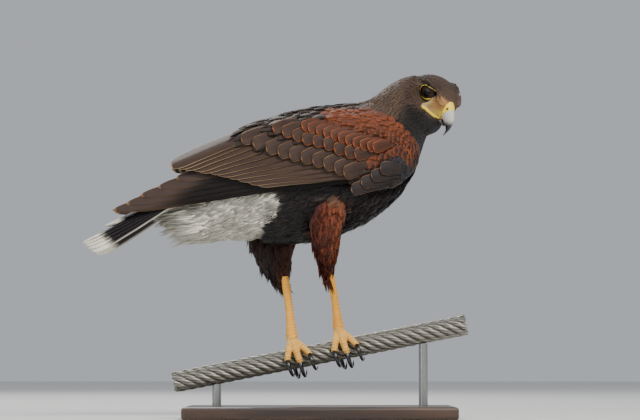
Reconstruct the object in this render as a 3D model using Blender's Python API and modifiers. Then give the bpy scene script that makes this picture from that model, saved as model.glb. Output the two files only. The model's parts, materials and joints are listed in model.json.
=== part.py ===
"""A life-size Harris's hawk standing on a short length of stranded cable, on a display stand.

Frame: +X is the way the body faces, +Y its left side, +Z up, in metres. The bird's right side is at
-Y. The origin is the middle of the base's underside, which rests on the floor. The head turns to
the bird's right and looks down.

Every node is a closed solid. Feather vanes, tail feathers and trouser locks are thin tapered plates
with their roots sunk in the node that they grow from.
"""

import math
import random

import bmesh
import bpy
import numpy as np
from mathutils import Matrix, Vector

GAP = 0.0003
CUT_GAP = 0.0004
SEED = 11
# How far every second lock or covert lies over its neighbours
COVERT_STEP = 0.0020
# Rows of undertail coverts, front to rear: place on the body, length, outward flare, count
COVERT_ROWS = (
    (0.18, 0.050, 0.10, 6),
    (0.12, 0.050, 0.20, 5),
    (0.08, 0.048, 0.30, 4),
)
COVERT_TURN = 0.40
LOCK_STEP = 0.0018
FLAT_ANGLE = math.radians(0.5)

# Body form, tail root to head: top x and z, bottom x and z, half width
BODY_STATIONS = (
    (-0.148, 0.287, -0.140, 0.240, 0.014),
    (-0.118, 0.305, -0.112, 0.207, 0.028),
    (-0.086, 0.321, -0.078, 0.198, 0.037),
    (-0.049, 0.338, -0.038, 0.194, 0.043),
    (-0.010, 0.350, 0.004, 0.199, 0.046),
    (0.030, 0.354, 0.042, 0.213, 0.046),
    (0.056, 0.360, 0.074, 0.235, 0.043),
    (0.075, 0.3735, 0.097, 0.262, 0.038),
    (0.091, 0.3825, 0.111, 0.290, 0.032),
    (0.108, 0.3860, 0.120, 0.318, 0.026),
)
BODY_POWER = 2.3
BODY_RING = 20
BODY_STEPS = 15
NECK_CUT = ((0.045, 0.356), (0.107, 0.284))
HEAD_CUT = ((0.090, 0.382), (0.117, 0.312))

# Head frame: forward is the way the bill points, then left, then up
HEAD_CENTRE = (0.1284, -0.005, 0.3634)
HEAD_YAW = math.radians(-52.0)
HEAD_PITCH = math.radians(35.0)
# Cranium: forward, top, bottom, half width
CRANIUM = (
    (-0.030, 0.004, -0.006, 0.004),
    (-0.026, 0.010, -0.015, 0.014),
    (-0.016, 0.0172, -0.023, 0.021),
    (-0.004, 0.0210, -0.026, 0.0235),
    (0.008, 0.0214, -0.025, 0.0236),
    (0.018, 0.0182, -0.023, 0.0220),
    (0.026, 0.0114, -0.020, 0.0164),
    (0.031, 0.0074, -0.017, 0.0126),
)
FACE_PLANE = 0.0285
# Edge between cere and horn: a point of it, and the way forward across it, both forward and up
HORN_EDGE = (0.0355, -0.0035)
HORN_WAY = (0.88, -0.48)
# Cere and upper bill: top forward and up, bottom forward and up, half width
UPPER_BILL = (
    (0.0240, 0.0090, 0.0240, -0.0120, 0.0100),
    (0.0300, 0.0056, 0.0280, -0.0145, 0.0082),
    (0.0350, 0.0022, 0.0312, -0.0160, 0.0066),
    (0.0398, -0.0022, 0.0345, -0.0178, 0.0052),
    (0.0436, -0.0072, 0.0370, -0.0200, 0.0041),
    (0.0450, -0.0138, 0.0392, -0.0222, 0.0030),
    (0.0444, -0.0212, 0.0410, -0.0252, 0.0019),
    (0.0400, -0.0314, 0.0397, -0.0310, 0.0005),
)
LOWER_BILL = (
    (0.0220, -0.0135, 0.0220, -0.0205, 0.0080),
    (0.0275, -0.0150, 0.0270, -0.0215, 0.0066),
    (0.0320, -0.0172, 0.0312, -0.0222, 0.0048),
    (0.0358, -0.0200, 0.0352, -0.0220, 0.0024),
)
# Eyeball: half sizes along the lids, across them and outwards
EYE_SIZE = (0.0110, 0.0086, 0.0066)
EYE_SEGMENTS = 14
EYE_PLACE = (0.0084, 0.0156, 0.0048)
EYE_AXIS = (0.36, 0.92, 0.06)
# Reach of the lids' opening from the middle of the eye, at even turns from the front, upwards
LID_REACH = (
    0.0093,
    0.0112,
    0.0087,
    0.0070,
    0.0064,
    0.0068,
    0.0082,
    0.0096,
    0.0101,
    0.0101,
    0.0093,
    0.0078,
    0.0068,
    0.0062,
    0.0062,
    0.0072,
)
LID_THICKNESS = 0.0012
# Hollow round the eye: height and share of the lids' reach at its floor and at its mouth
HOLLOW = ((0.0020, 0.96), (0.0140, 1.75))
BROW = (
    (-0.006, 0.0176, 0.0120, 0.0024),
    (0.005, 0.0190, 0.0136, 0.0034),
    (0.017, 0.0184, 0.0118, 0.0036),
    (0.026, 0.0158, 0.0066, 0.0030),
    (0.032, 0.0130, 0.0014, 0.0022),
)
# Throat under the chin: centre and half sizes in the world
THROAT_CENTRE = (0.1180, -0.006, 0.3330)
THROAT_SIZE = (0.0215, 0.0200, 0.0185)
NOSTRIL_PLACE = (0.0340, 0.0068, -0.0012)
NOSTRIL_SIZE = (0.0013, 0.0020, 0.0013)
MOUTH_CORNER = (0.0130, -0.0098)
MOUTH_FRONT = (0.0340, -0.0170)
MOUTH_GAP = 0.0008

# Side form that the folded wing lies on: x, middle z, half height, half width
WING_GUIDE = (
    (-0.260, 0.222, 0.030, 0.010),
    (-0.200, 0.240, 0.030, 0.018),
    (-0.150, 0.257, 0.032, 0.026),
    (-0.115, 0.263, 0.042, 0.032),
    (-0.080, 0.265, 0.055, 0.039),
    (-0.040, 0.268, 0.064, 0.044),
    (0.000, 0.276, 0.068, 0.0465),
    (0.040, 0.286, 0.066, 0.0455),
    (0.080, 0.303, 0.062, 0.038),
    (0.115, 0.314, 0.060, 0.024),
)
GUIDE_POWER = 2.2
GUIDE_TURN = 0.90
GUIDE_CLEAR = 0.004
# Arm and covert mass: x, lower z, upper z, outer offset
WING_CORE = (
    (-0.104, 0.300, 0.309, 0.0020),
    (-0.076, 0.299, 0.324, 0.0085),
    (-0.045, 0.295, 0.337, 0.0120),
    (-0.012, 0.288, 0.346, 0.0135),
    (0.020, 0.278, 0.350, 0.0140),
    (0.045, 0.258, 0.351, 0.0140),
    (0.070, 0.255, 0.346, 0.0140),
    (0.090, 0.262, 0.335, 0.0135),
    (0.103, 0.275, 0.319, 0.0110),
    (0.109, 0.288, 0.306, 0.0060),
)
VANE_THICKNESS = 0.00065
# How far a wing feather bows upwards, as a share of its length
VANE_BOW = 0.016
# Outlines: place along the feather and share of its half width there
SECONDARY_OUTLINE = ((0.0, 0.60), (0.45, 0.97), (0.87, 0.82), (1.0, 0.24))
FLIGHT_OUTLINE = ((0.0, 0.60), (0.32, 0.92), (0.64, 1.00), (0.88, 0.80), (1.0, 0.22))
COVERT_OUTLINE = ((0.0, 0.70), (0.50, 1.00), (0.86, 0.80), (1.0, 0.26))
LOCK_OUTLINE = ((0.0, 0.80), (0.36, 1.00), (0.72, 0.66), (1.0, 0.08))

PRIMARY_ROOTS = ((0.050, 0.266), (0.006, 0.288))
PRIMARY_TIPS = (
    (-0.214, 0.232),
    (-0.231, 0.231),
    (-0.216, 0.238),
    (-0.200, 0.247),
    (-0.180, 0.256),
    (-0.160, 0.266),
)
PRIMARY_HALF_WIDTH = 0.0080
PRIMARY_OFFSET = 0.0030
PRIMARY_TILT = 0.0018

SECONDARY_COUNT = 10
SECONDARY_ROOTS = ((0.044, 0.270), (-0.042, 0.329))
SECONDARY_TIPS = ((-0.074, 0.261), (-0.108, 0.270), (-0.140, 0.276), (-0.168, 0.280))
SECONDARY_HALF_WIDTH = 0.0098
SECONDARY_OFFSET = 0.0080
SECONDARY_TILT = 0.0024

GREATER_TIPS = (
    (-0.087, 0.307),
    (-0.066, 0.298),
    (-0.046, 0.291),
    (-0.027, 0.286),
    (-0.008, 0.281),
    (0.010, 0.275),
    (0.026, 0.268),
)
MEDIAN_TIPS = (
    (-0.052, 0.318),
    (-0.034, 0.311),
    (-0.017, 0.304),
    (0.002, 0.300),
    (0.020, 0.292),
    (0.038, 0.288),
)
COVERT_LENGTH = 0.036
COVERT_SLOPE = 0.34
COVERT_HALF_WIDTH = 0.0100
COVERT_TILT = -0.0014
COVERT_SINK = 0.0042
GREATER_OFFSET = 0.0144
MEDIAN_OFFSET = 0.0176
HAND_OFFSET = 0.0178
HAND_TILT = 0.0024
HAND_TIPS = ((0.039, 0.251), (0.050, 0.261), (0.062, 0.270))
HAND_ROOTS = ((0.086, 0.272), (0.096, 0.286))
HAND_HALF_WIDTH = 0.0085

# Tail: a roof of twelve feathers along a falling line
TAIL_ROOT = (-0.118, 0.269)
TAIL_TIP = (-0.268, 0.196)
TAIL_SIDE_FEATHERS = 5
TAIL_SPREAD_ROOT = 0.0012
TAIL_SPREAD_TIP = 0.0050
TAIL_DROP = 0.022
TAIL_HALF_WIDTH = 0.030
RECTRIX_HALF_WIDTH = 0.0100
RECTRIX_TILT = 0.0038
# Section of the tail's fleshy root: across, and up from the roof
TAIL_CORE = (
    (-0.020, -0.002),
    (0.0, -0.003),
    (0.020, -0.002),
    (0.018, 0.003),
    (0.0, 0.005),
    (-0.018, 0.003),
)

CABLE_RADIUS = 0.01175
CABLE_VALLEY = 0.0103
CABLE_STRANDS = 7
CABLE_LEAD = 0.076
CABLE_LENGTH = 0.330
CABLE_SLOPE = math.radians(11.1)
CABLE_HEIGHT = 0.0723

BASE_SIZE = (0.300, 0.160, 0.014)
BASE_BEVEL = 0.003
ROD_RADIUS = 0.005
ROD_PLACES = (-0.115, 0.115)

COLOURS = {
    "plumage": ((0.055, 0.040, 0.032), 0.80, 0.0),
    "rust": ((0.30, 0.10, 0.035), 0.80, 0.0),
    "skin": ((0.75, 0.42, 0.12), 0.50, 0.0),
    "cere": ((0.85, 0.65, 0.05), 0.45, 0.0),
    "horn": ((0.05, 0.05, 0.055), 0.35, 0.0),
    "eye": ((0.04, 0.018, 0.010), 0.10, 0.0),
    "steel": ((0.55, 0.55, 0.53), 0.40, 0.9),
    "wood": ((0.06, 0.045, 0.035), 0.50, 0.0),
}


def clear_scene():
    """Remove every object of the file, so that only the model is left."""
    for obj in list(bpy.data.objects):
        bpy.data.objects.remove(obj, do_unlink=True)


def make_collection(name):
    """Return a new collection under the scene's own."""
    collection = bpy.data.collections.new(name)
    bpy.context.scene.collection.children.link(collection)
    return collection


def make_material(name):
    """Return the Principled BSDF material of that name."""
    colour, roughness, metallic = COLOURS[name]
    material = bpy.data.materials.new(name)
    material.use_nodes = True
    shader = material.node_tree.nodes["Principled BSDF"]
    shader.inputs["Base Color"].default_value = (*colour, 1.0)
    shader.inputs["Roughness"].default_value = roughness
    shader.inputs["Metallic"].default_value = metallic
    return material


def resample(keys, places):
    """Read a smooth curve through the rows of keys at places from 0 to 1."""
    rows = np.asarray(keys, dtype=float)
    last = len(rows) - 1
    result = []
    for place in places:
        spot = min(max(place, 0.0), 1.0) * last
        first = min(int(spot), last - 1)
        t = spot - first
        before = rows[max(first - 1, 0)]
        start = rows[first]
        end = rows[first + 1]
        after = rows[min(first + 2, last)]
        leaving = 0.5 * (end - before)
        arriving = 0.5 * (after - start)
        result.append(
            start * (2 * t**3 - 3 * t**2 + 1)
            + leaving * (t**3 - 2 * t**2 + t)
            + end * (3 * t**2 - 2 * t**3)
            + arriving * (t**3 - t**2)
        )
    return np.array(result)


def object_from(bm, name):
    """Make an object of a bmesh, faces turned outwards, in the scene."""
    bmesh.ops.recalc_face_normals(bm, faces=bm.faces)
    mesh = bpy.data.meshes.new(name)
    bm.to_mesh(mesh)
    bm.free()
    obj = bpy.data.objects.new(name, mesh)
    bpy.context.scene.collection.objects.link(obj)
    return obj


def loft(rings, name, closed=False):
    """Skin a row of rings with equal point counts, ended by caps unless it is closed on itself."""
    bm = bmesh.new()
    rows = [[bm.verts.new(point) for point in ring] for ring in rings]
    count = len(rows[0])
    pairs = list(zip(rows[:-1], rows[1:]))
    if closed:
        pairs.append((rows[-1], rows[0]))
    for near, far in pairs:
        for i in range(count):
            j = (i + 1) % count
            bm.faces.new((near[i], near[j], far[j], far[i]))
    if not closed:
        bm.faces.new(reversed(rows[0]))
        bm.faces.new(rows[-1])
    return object_from(bm, name)


def superellipse(angle, power):
    """Return the sine and cosine of a squarer circle."""
    s, c = math.sin(angle), math.cos(angle)
    exponent = 2.0 / power
    return math.copysign(abs(s) ** exponent, s), math.copysign(abs(c) ** exponent, c)


def section_ring(station, power, count, grow=0.0):
    """One cross-section between a top and a bottom point, as points in x, y and z."""
    top = np.array((station[0], 0.0, station[1]))
    bottom = np.array((station[2], 0.0, station[3]))
    middle = 0.5 * (top + bottom)
    half = 0.5 * (top - bottom)
    length = np.linalg.norm(half)
    half = half * (length + grow) / length
    width = station[4] + grow
    ring = []
    for i in range(count):
        side, rise = superellipse(2.0 * math.pi * i / count, power)
        ring.append(middle + half * rise + np.array((0.0, width * side, 0.0)))
    return np.array(ring)


def body_form(name, grow=0.0):
    """The whole body, tail root to head, as one loft."""
    places = np.linspace(0.0, 1.0, BODY_STEPS)
    stations = resample(BODY_STATIONS, places)
    return loft([section_ring(s, BODY_POWER, BODY_RING, grow) for s in stations], name)


def body_point(place, angle, lift=0.0):
    """A point of the body's surface, its place from 0 at the tail and its angle from the top."""
    station = resample(BODY_STATIONS, [place])[0]
    top = np.array((station[0], 0.0, station[1]))
    bottom = np.array((station[2], 0.0, station[3]))
    half = 0.5 * (top - bottom)
    side, rise = superellipse(angle, BODY_POWER)
    grown = half * (1.0 + lift / np.linalg.norm(half))
    return 0.5 * (top + bottom) + grown * rise + np.array((0.0, (station[4] + lift) * side, 0.0))


def tube(path, radii, sides, name, closed=False):
    """A round bar along a path of points, with a radius at each."""
    points = [Vector(p) for p in path]
    count = len(points)
    rings = []
    normal = None
    for i, point in enumerate(points):
        if closed:
            tangent = (points[(i + 1) % count] - points[i - 1]).normalized()
        else:
            tangent = (points[min(i + 1, count - 1)] - points[max(i - 1, 0)]).normalized()
        if normal is None:
            normal = tangent.orthogonal().normalized()
        normal = (normal - tangent * normal.dot(tangent)).normalized()
        other = tangent.cross(normal)
        ring = []
        for k in range(sides):
            turn = 2.0 * math.pi * k / sides
            ring.append(point + (normal * math.cos(turn) + other * math.sin(turn)) * radii[i])
        rings.append(ring)
    return loft(rings, name, closed)


def plate(middle, normals, thickness, name):
    """A thin closed plate on a grid of points, split into triangles alike on both faces."""
    rows, columns = middle.shape[:2]
    thick = np.asarray(thickness, dtype=float).reshape(rows, 1, 1)
    bm = bmesh.new()
    outer = [[bm.verts.new(p) for p in row] for row in middle + normals * thick * 0.5]
    inner = [[bm.verts.new(p) for p in row] for row in middle - normals * thick * 0.5]
    for i in range(rows - 1):
        for j in range(columns - 1):
            a, b, c, d = (i, j), (i, j + 1), (i + 1, j + 1), (i + 1, j)
            for u, v, w in ((a, b, c), (a, c, d)):
                bm.faces.new((outer[u[0]][u[1]], outer[v[0]][v[1]], outer[w[0]][w[1]]))
                bm.faces.new((inner[w[0]][w[1]], inner[v[0]][v[1]], inner[u[0]][u[1]]))
    border = [(0, j) for j in range(columns)]
    border += [(i, columns - 1) for i in range(1, rows)]
    border += [(rows - 1, j) for j in range(columns - 2, -1, -1)]
    border += [(i, 0) for i in range(rows - 2, 0, -1)]
    for k, here in enumerate(border):
        there = border[(k + 1) % len(border)]
        a, b = outer[here[0]][here[1]], outer[there[0]][there[1]]
        c, d = inner[there[0]][there[1]], inner[here[0]][here[1]]
        bm.faces.new((b, a, d))
        bm.faces.new((b, d, c))
    return object_from(bm, name)


def guide_y(x, z, offset=0.0):
    """How far out the side form stands at a place seen from the side."""
    xs = [row[0] for row in WING_GUIDE]
    middle = np.interp(x, xs, [row[1] for row in WING_GUIDE])
    height = np.interp(x, xs, [row[2] for row in WING_GUIDE]) + offset
    width = np.interp(x, xs, [row[3] for row in WING_GUIDE]) + offset
    level = abs((z - middle) / height)
    curved = min(level, GUIDE_TURN)
    rest = 1.0 - curved**GUIDE_POWER
    slope = curved ** (GUIDE_POWER - 1.0) * rest ** (1.0 / GUIDE_POWER - 1.0)
    out = width * (rest ** (1.0 / GUIDE_POWER) - slope * (level - curved))
    return max(out, GUIDE_CLEAR + 0.1 * offset)


def guide_point(x, z, offset):
    """A point that far out from the side form, on the bird's right, and the way out there."""
    step = 0.004
    across = (guide_y(x + step, z, offset) - guide_y(x - step, z, offset)) / (2 * step)
    upward = (guide_y(x, z + step, offset) - guide_y(x, z - step, offset)) / (2 * step)
    normal = np.array((-across, -1.0, -upward))
    return np.array((x, -guide_y(x, z, offset), z)), normal / np.linalg.norm(normal)


def wing_vane(root, tip, half_width, offsets, tilt, outline):
    """A feather of the folded wing, set by its root and tip as seen from the side."""
    root = np.array(root, dtype=float)
    tip = np.array(tip, dtype=float)
    run = tip - root
    down = np.array((run[1], -run[0])) / np.linalg.norm(run)
    if down[1] > 0:
        down = -down
    middle = np.zeros((len(outline), 3, 3))
    normals = np.zeros_like(middle)
    for i, (t, width) in enumerate(outline):
        centre = root + run * t - down * VANE_BOW * np.linalg.norm(run) * math.sin(math.pi * t)
        base = offsets[0] + (offsets[1] - offsets[0]) * t
        for j, side in enumerate((-1.0, 0.0, 1.0)):
            spot = centre + down * side * half_width * width
            point, normal = guide_point(spot[0], spot[1], base + tilt * side * width)
            middle[i, j] = point
            normals[i, j] = normal
    thickness = [VANE_THICKNESS] * (len(outline) - 1) + [VANE_THICKNESS * 0.8]
    return plate(middle, normals, thickness, "vane")


def free_vane(root, tip, out, half_width, outline, bend, name):
    """A feather or lock in space, its face turned out and bowed outwards."""
    root, tip, out = (np.array(v, dtype=float) for v in (root, tip, out))
    run = tip - root
    along = run / np.linalg.norm(run)
    out = out - along * out.dot(along)
    out = out / np.linalg.norm(out)
    side = np.cross(along, out)
    middle = np.zeros((len(outline), 3, 3))
    normals = np.zeros_like(middle)
    for i, (t, width) in enumerate(outline):
        centre = root + run * t + out * bend * math.sin(math.pi * t)
        for j, place in enumerate((-1.0, 0.0, 1.0)):
            middle[i, j] = centre + side * place * half_width * width
            middle[i, j] -= out * abs(place) * half_width * width * 0.12
            normals[i, j] = out
    thickness = [VANE_THICKNESS * 1.3] * (len(outline) - 1) + [VANE_THICKNESS]
    return plate(middle, normals, thickness, name)


def largest_surface(obj):
    """Keep only the closed surface that holds the most."""
    bm = bmesh.new()
    bm.from_mesh(obj.data)
    left = set(bm.faces)
    shells = []
    while left:
        queue = [left.pop()]
        shell = list(queue)
        while queue:
            face = queue.pop()
            for edge in face.edges:
                for other in edge.link_faces:
                    if other in left:
                        left.remove(other)
                        queue.append(other)
                        shell.append(other)
        volume = 0.0
        for face in shell:
            verts = [v.co for v in face.verts]
            for i in range(1, len(verts) - 1):
                volume += verts[0].dot(verts[i].cross(verts[i + 1])) / 6.0
        shells.append((volume, shell))
    shells.sort(key=lambda item: item[0])
    for _, shell in shells[:-1]:
        bmesh.ops.delete(bm, geom=shell, context="FACES")
    bmesh.ops.delete(bm, geom=[v for v in bm.verts if not v.link_faces], context="VERTS")
    bmesh.ops.dissolve_limit(bm, angle_limit=FLAT_ANGLE, verts=bm.verts, edges=bm.edges)
    bmesh.ops.triangulate(bm, faces=bm.faces)
    bm.to_mesh(obj.data)
    bm.free()


def combine(obj, others, operation, solver="EXACT"):
    """Apply one Boolean with a group of closed objects, and remove them."""
    if not others:
        return obj
    group = bpy.data.collections.new("operands")
    for other in others:
        group.objects.link(other)
    modifier = obj.modifiers.new("join", "BOOLEAN")
    modifier.operation = operation
    modifier.operand_type = "COLLECTION"
    modifier.collection = group
    modifier.solver = solver
    graph = bpy.context.evaluated_depsgraph_get()
    mesh = bpy.data.meshes.new_from_object(obj.evaluated_get(graph))
    obj.modifiers.remove(modifier)
    obj.data = mesh
    for other in others:
        bpy.data.objects.remove(other, do_unlink=True)
    bpy.data.collections.remove(group)
    return obj


def copy_of(obj, name):
    """A second object with its own mesh."""
    other = bpy.data.objects.new(name, obj.data.copy())
    bpy.context.scene.collection.objects.link(other)
    return other


def cut_plane(obj, point, direction):
    """Keep the side of a plane that its direction points to, and close the cut."""
    bm = bmesh.new()
    bm.from_mesh(obj.data)
    geometry = list(bm.verts) + list(bm.edges) + list(bm.faces)
    cut = bmesh.ops.bisect_plane(
        bm, geom=geometry, dist=1e-7, plane_co=point, plane_no=direction, clear_inner=True
    )
    edges = [item for item in cut["geom_cut"] if isinstance(item, bmesh.types.BMEdge)]
    bmesh.ops.edgeloop_fill(bm, edges=edges)
    bmesh.ops.recalc_face_normals(bm, faces=bm.faces)
    bm.to_mesh(obj.data)
    bm.free()
    return obj


def profile_plane(line):
    """A point and forward normal of a cut through the body, given by two points of its side view."""
    (x1, z1), (x2, z2) = line
    normal = Vector((z1 - z2, 0.0, x2 - x1)).normalized()
    return Vector((x1, 0.0, z1)), normal


def head_matrix():
    """Head frame to world: columns forward, left and up."""
    forward = Vector(
        (
            math.cos(HEAD_YAW) * math.cos(HEAD_PITCH),
            math.sin(HEAD_YAW) * math.cos(HEAD_PITCH),
            -math.sin(HEAD_PITCH),
        )
    )
    left = Vector((-math.sin(HEAD_YAW), math.cos(HEAD_YAW), 0.0))
    up = forward.cross(left)
    turn = Matrix((forward, left, up)).transposed().to_4x4()
    return Matrix.Translation(HEAD_CENTRE) @ turn


def finish(obj, name, material, collection, smooth=True):
    """Name a node, give it its material and put it in the model's collection."""
    obj.name = name
    obj.data.name = name
    obj.data.materials.clear()
    obj.data.materials.append(material)
    for holder in list(obj.users_collection):
        holder.objects.unlink(obj)
    collection.objects.link(obj)
    if smooth:
        obj.data.shade_smooth()
        obj.data.set_sharp_from_angle(angle=math.radians(40.0))
    return obj


def ball(centre, radii, segments, name):
    """An ellipsoid, its axes along X, Y and Z."""
    bm = bmesh.new()
    bmesh.ops.create_uvsphere(bm, u_segments=segments, v_segments=segments // 2 + 1, radius=1.0)
    for vert in bm.verts:
        vert.co = Vector((vert.co.x * radii[0], vert.co.y * radii[1], vert.co.z * radii[2]))
        vert.co += Vector(centre)
    return object_from(bm, name)


def eye_frame(side):
    """One eye in the head frame, side -1 for the right: centre, and ways along, across and outwards."""
    centre = Vector((EYE_PLACE[0], EYE_PLACE[1] * side, EYE_PLACE[2]))
    axis = Vector((EYE_AXIS[0], EYE_AXIS[1] * side, EYE_AXIS[2])).normalized()
    along = Vector((1.0, 0.0, 0.0))
    along = (along - axis * along.dot(axis)).normalized()
    upward = Vector((0.0, 0.0, 1.0))
    upward = upward - axis * upward.dot(axis)
    upward = (upward - along * upward.dot(along)).normalized()
    return centre, along, upward, axis


def eye_ball(side, grow, name):
    """The flattened ball of one eye, grown a little for its socket."""
    centre, along, upward, axis = eye_frame(side)
    wide, tall, deep = [size + grow for size in EYE_SIZE]
    bm = bmesh.new()
    bmesh.ops.create_uvsphere(bm, u_segments=EYE_SEGMENTS, v_segments=EYE_SEGMENTS // 2 + 1, radius=1.0)
    for vert in bm.verts:
        x, y, z = vert.co
        vert.co = centre + along * (wide * x) + upward * (tall * y) + axis * (deep * z)
    bmesh.ops.recalc_face_normals(bm, faces=bm.faces)
    return object_from(bm, name)


def lid_point(side, number, factor, more, height):
    """A point near the rim of the lids, by its number on the rim."""
    centre, along, upward, axis = eye_frame(side)
    turn = 2.0 * math.pi * number / len(LID_REACH)
    reach = LID_REACH[number] * factor + more
    return centre + (along * math.cos(turn) + upward * math.sin(turn)) * reach + axis * height


def lid_ring(side):
    """The rim of skin round one eye, lying on the eyeball."""
    path = []
    for number, reach in enumerate(LID_REACH):
        turn = 2.0 * math.pi * number / len(LID_REACH)
        across = (reach + 0.0008) * math.cos(turn) / (EYE_SIZE[0] + 0.0012)
        over = (reach + 0.0008) * math.sin(turn) / (EYE_SIZE[1] + 0.0012)
        height = (EYE_SIZE[2] + 0.0004) * math.sqrt(max(1.0 - across**2 - over**2, 0.12))
        path.append(lid_point(side, number, 1.0, 0.0008, height))
    return tube(path, [LID_THICKNESS] * len(path), 5, "lid", closed=True)


def eye_hollow(side):
    """The hollow in the side of the head that the lids lie in."""
    rings = []
    for height, factor in HOLLOW:
        rings.append([lid_point(side, number, factor, 0.0, height) for number in range(len(LID_REACH))])
    return loft(rings, "hollow")


def brow_ridge(side):
    """The ridge of the brow over one eye."""
    rows = resample(BROW, np.linspace(0.0, 1.0, 8))
    path = [(row[0], row[1] * side, row[2]) for row in rows]
    return tube(path, [row[3] for row in rows], 8, "brow")


def head_form():
    """Cranium, brows and lids in the head frame, before the sockets and the mouth are cut."""
    rows = resample(CRANIUM, np.linspace(0.0, 1.0, 10))
    rings = [section_ring((r[0], r[1], r[0], r[2], r[3]), 2.2, 18) for r in rows]
    skull = loft(rings, "skull")
    combine(skull, [brow_ridge(side) for side in (-1, 1)], "UNION")
    combine(skull, [eye_hollow(side) for side in (-1, 1)], "DIFFERENCE")
    return combine(skull, [lid_ring(side) for side in (-1, 1)], "UNION")


def mouth_cutter():
    """The thin slot that parts the jaws back to the corners of the mouth."""
    (f1, u1), (f2, u2) = MOUTH_CORNER, MOUTH_FRONT
    half = 0.5 * MOUTH_GAP
    width = 0.030
    rings = []
    for f, u in ((f1, u1), (f2, u2)):
        low = ((f, -width, u - half), (f, width, u - half))
        high = ((f, width, u + half), (f, -width, u + half))
        rings.append(low + high)
    return loft(rings, "mouth")


def build_body(collection, materials):
    """Torso with undertail coverts, neck and head, parted by thin cuts."""
    placing = head_matrix()
    head_piece = head_form()
    head_piece.data.transform(placing)
    throat = ball(THROAT_CENTRE, THROAT_SIZE, 12, "throat")
    whole = combine(body_form("whole"), [head_piece, throat], "UNION", "MANIFOLD")
    neck_point, neck_way = profile_plane(NECK_CUT)
    head_point, head_way = profile_plane(HEAD_CUT)
    half = 0.5 * GAP

    head = copy_of(whole, "head")
    cut_plane(head, head_point + head_way * half, head_way)
    neck = copy_of(whole, "neck")
    cut_plane(neck, head_point - head_way * half, -head_way)
    cut_plane(neck, neck_point + neck_way * half, neck_way)
    torso = whole
    cut_plane(torso, neck_point - neck_way * half, -neck_way)

    cutters = [mouth_cutter()]
    for side in (-1, 1):
        cutters.append(eye_ball(side, GAP, "socket"))
    for cutter in cutters:
        cutter.data.transform(placing)
    combine(head, cutters, "DIFFERENCE")
    face = placing @ Vector((FACE_PLANE, 0.0, 0.0))
    forward = placing.to_3x3() @ Vector((1.0, 0.0, 0.0))
    cut_plane(head, face, -forward)
    largest_surface(head)
    largest_surface(neck)

    combine(torso, undertail_coverts(), "UNION", "MANIFOLD")
    largest_surface(torso)
    finish(torso, "torso", materials["plumage"], collection)
    finish(neck, "neck", materials["plumage"], collection)
    finish(head, "head", materials["plumage"], collection)


def undertail_coverts():
    """The long pale feathers under and beside the root of the tail."""
    draw = random.Random(SEED)
    vanes = []
    for place, length, flare, count in COVERT_ROWS:
        for k in range(count):
            turn = math.pi - (k - 0.5 * (count - 1)) * COVERT_TURN
            root = body_point(place, turn, -0.0025)
            out = body_point(place, turn, 0.010) - root
            out = out / np.linalg.norm(out)
            reach = length * (1.0 + 0.12 * draw.uniform(-1.0, 1.0))
            edges = [body_point(place, turn + 0.5 * COVERT_TURN * side) for side in (-1, 1)]
            chord = np.linalg.norm(edges[1] - edges[0])
            way = np.array((-1.0, 0.0, -0.10)) + out * flare
            over = COVERT_STEP * (k % 2)
            tip = root + way / np.linalg.norm(way) * reach + out * over
            vanes.append(free_vane(root, tip, out, 0.74 * chord, LOCK_OUTLINE, 0.003 + over, "covert"))
    return vanes


def bill_loft(stations, name, count):
    """A loft of the bill in the head frame."""
    rows = resample(stations, np.linspace(0.0, 1.0, count))
    return loft([section_ring(r, 2.0, 10) for r in rows], name)


def build_face(collection, materials):
    """Cere, upper and lower bill and the two eyes."""
    placing = head_matrix()
    way = Vector((1.0, 0.0, 0.0))
    upper = bill_loft(UPPER_BILL, "upper", 12)
    cere = copy_of(upper, "cere")
    edge = Vector((HORN_EDGE[0], 0.0, HORN_EDGE[1]))
    slant = Vector((HORN_WAY[0], 0.0, HORN_WAY[1])).normalized()
    cut_plane(cere, way * (FACE_PLANE + GAP), way)
    cut_plane(cere, edge, -slant)
    x, y, z = NOSTRIL_PLACE
    holes = [ball((x, y * side, z), NOSTRIL_SIZE, 8, "nostril") for side in (-1, 1)]
    combine(cere, holes, "DIFFERENCE")
    cut_plane(upper, edge + slant * GAP, slant)
    cut_plane(upper, way * (FACE_PLANE + GAP), way)
    lower = bill_loft(LOWER_BILL, "lower", 8)
    cut_plane(lower, way * (FACE_PLANE + GAP), way)
    pieces = ((cere, "cere", "cere"), (upper, "bill_upper", "horn"), (lower, "bill_lower", "horn"))
    for obj, name, material in pieces:
        obj.data.transform(placing)
        largest_surface(obj)
        finish(obj, name, materials[material], collection)
    for side, name in ((-1, "eye_right"), (1, "eye_left")):
        eye = eye_ball(side, 0.0, name)
        eye.data.transform(placing)
        finish(eye, name, materials["eye"], collection)


def wing_core():
    """The arm and the mass of small coverts over it, as one form on the side of the body."""
    rings = []
    for x, low, high, offset in resample(WING_CORE, np.linspace(0.0, 1.0, 12)):
        outer = []
        inner = []
        for k in range(6):
            v = k / 5
            z = low + (high - low) * v
            crown = math.sqrt(max(0.0, 1.0 - (2.0 * v - 1.0) ** 2))
            fall = 0.75 * max(0.0, 2.0 * v - 1.0) ** 2
            outer.append(guide_point(x, z, offset * (0.82 + 0.18 * crown - fall))[0])
            inner.append(guide_point(x, z, -0.003)[0])
        rings.append(outer + inner[::-1])
    return loft(rings, "core")


def line_points(ends, count):
    """Evenly spaced points between two ends."""
    start, end = np.array(ends[0]), np.array(ends[1])
    return [start + (end - start) * i / (count - 1) for i in range(count)]


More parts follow.
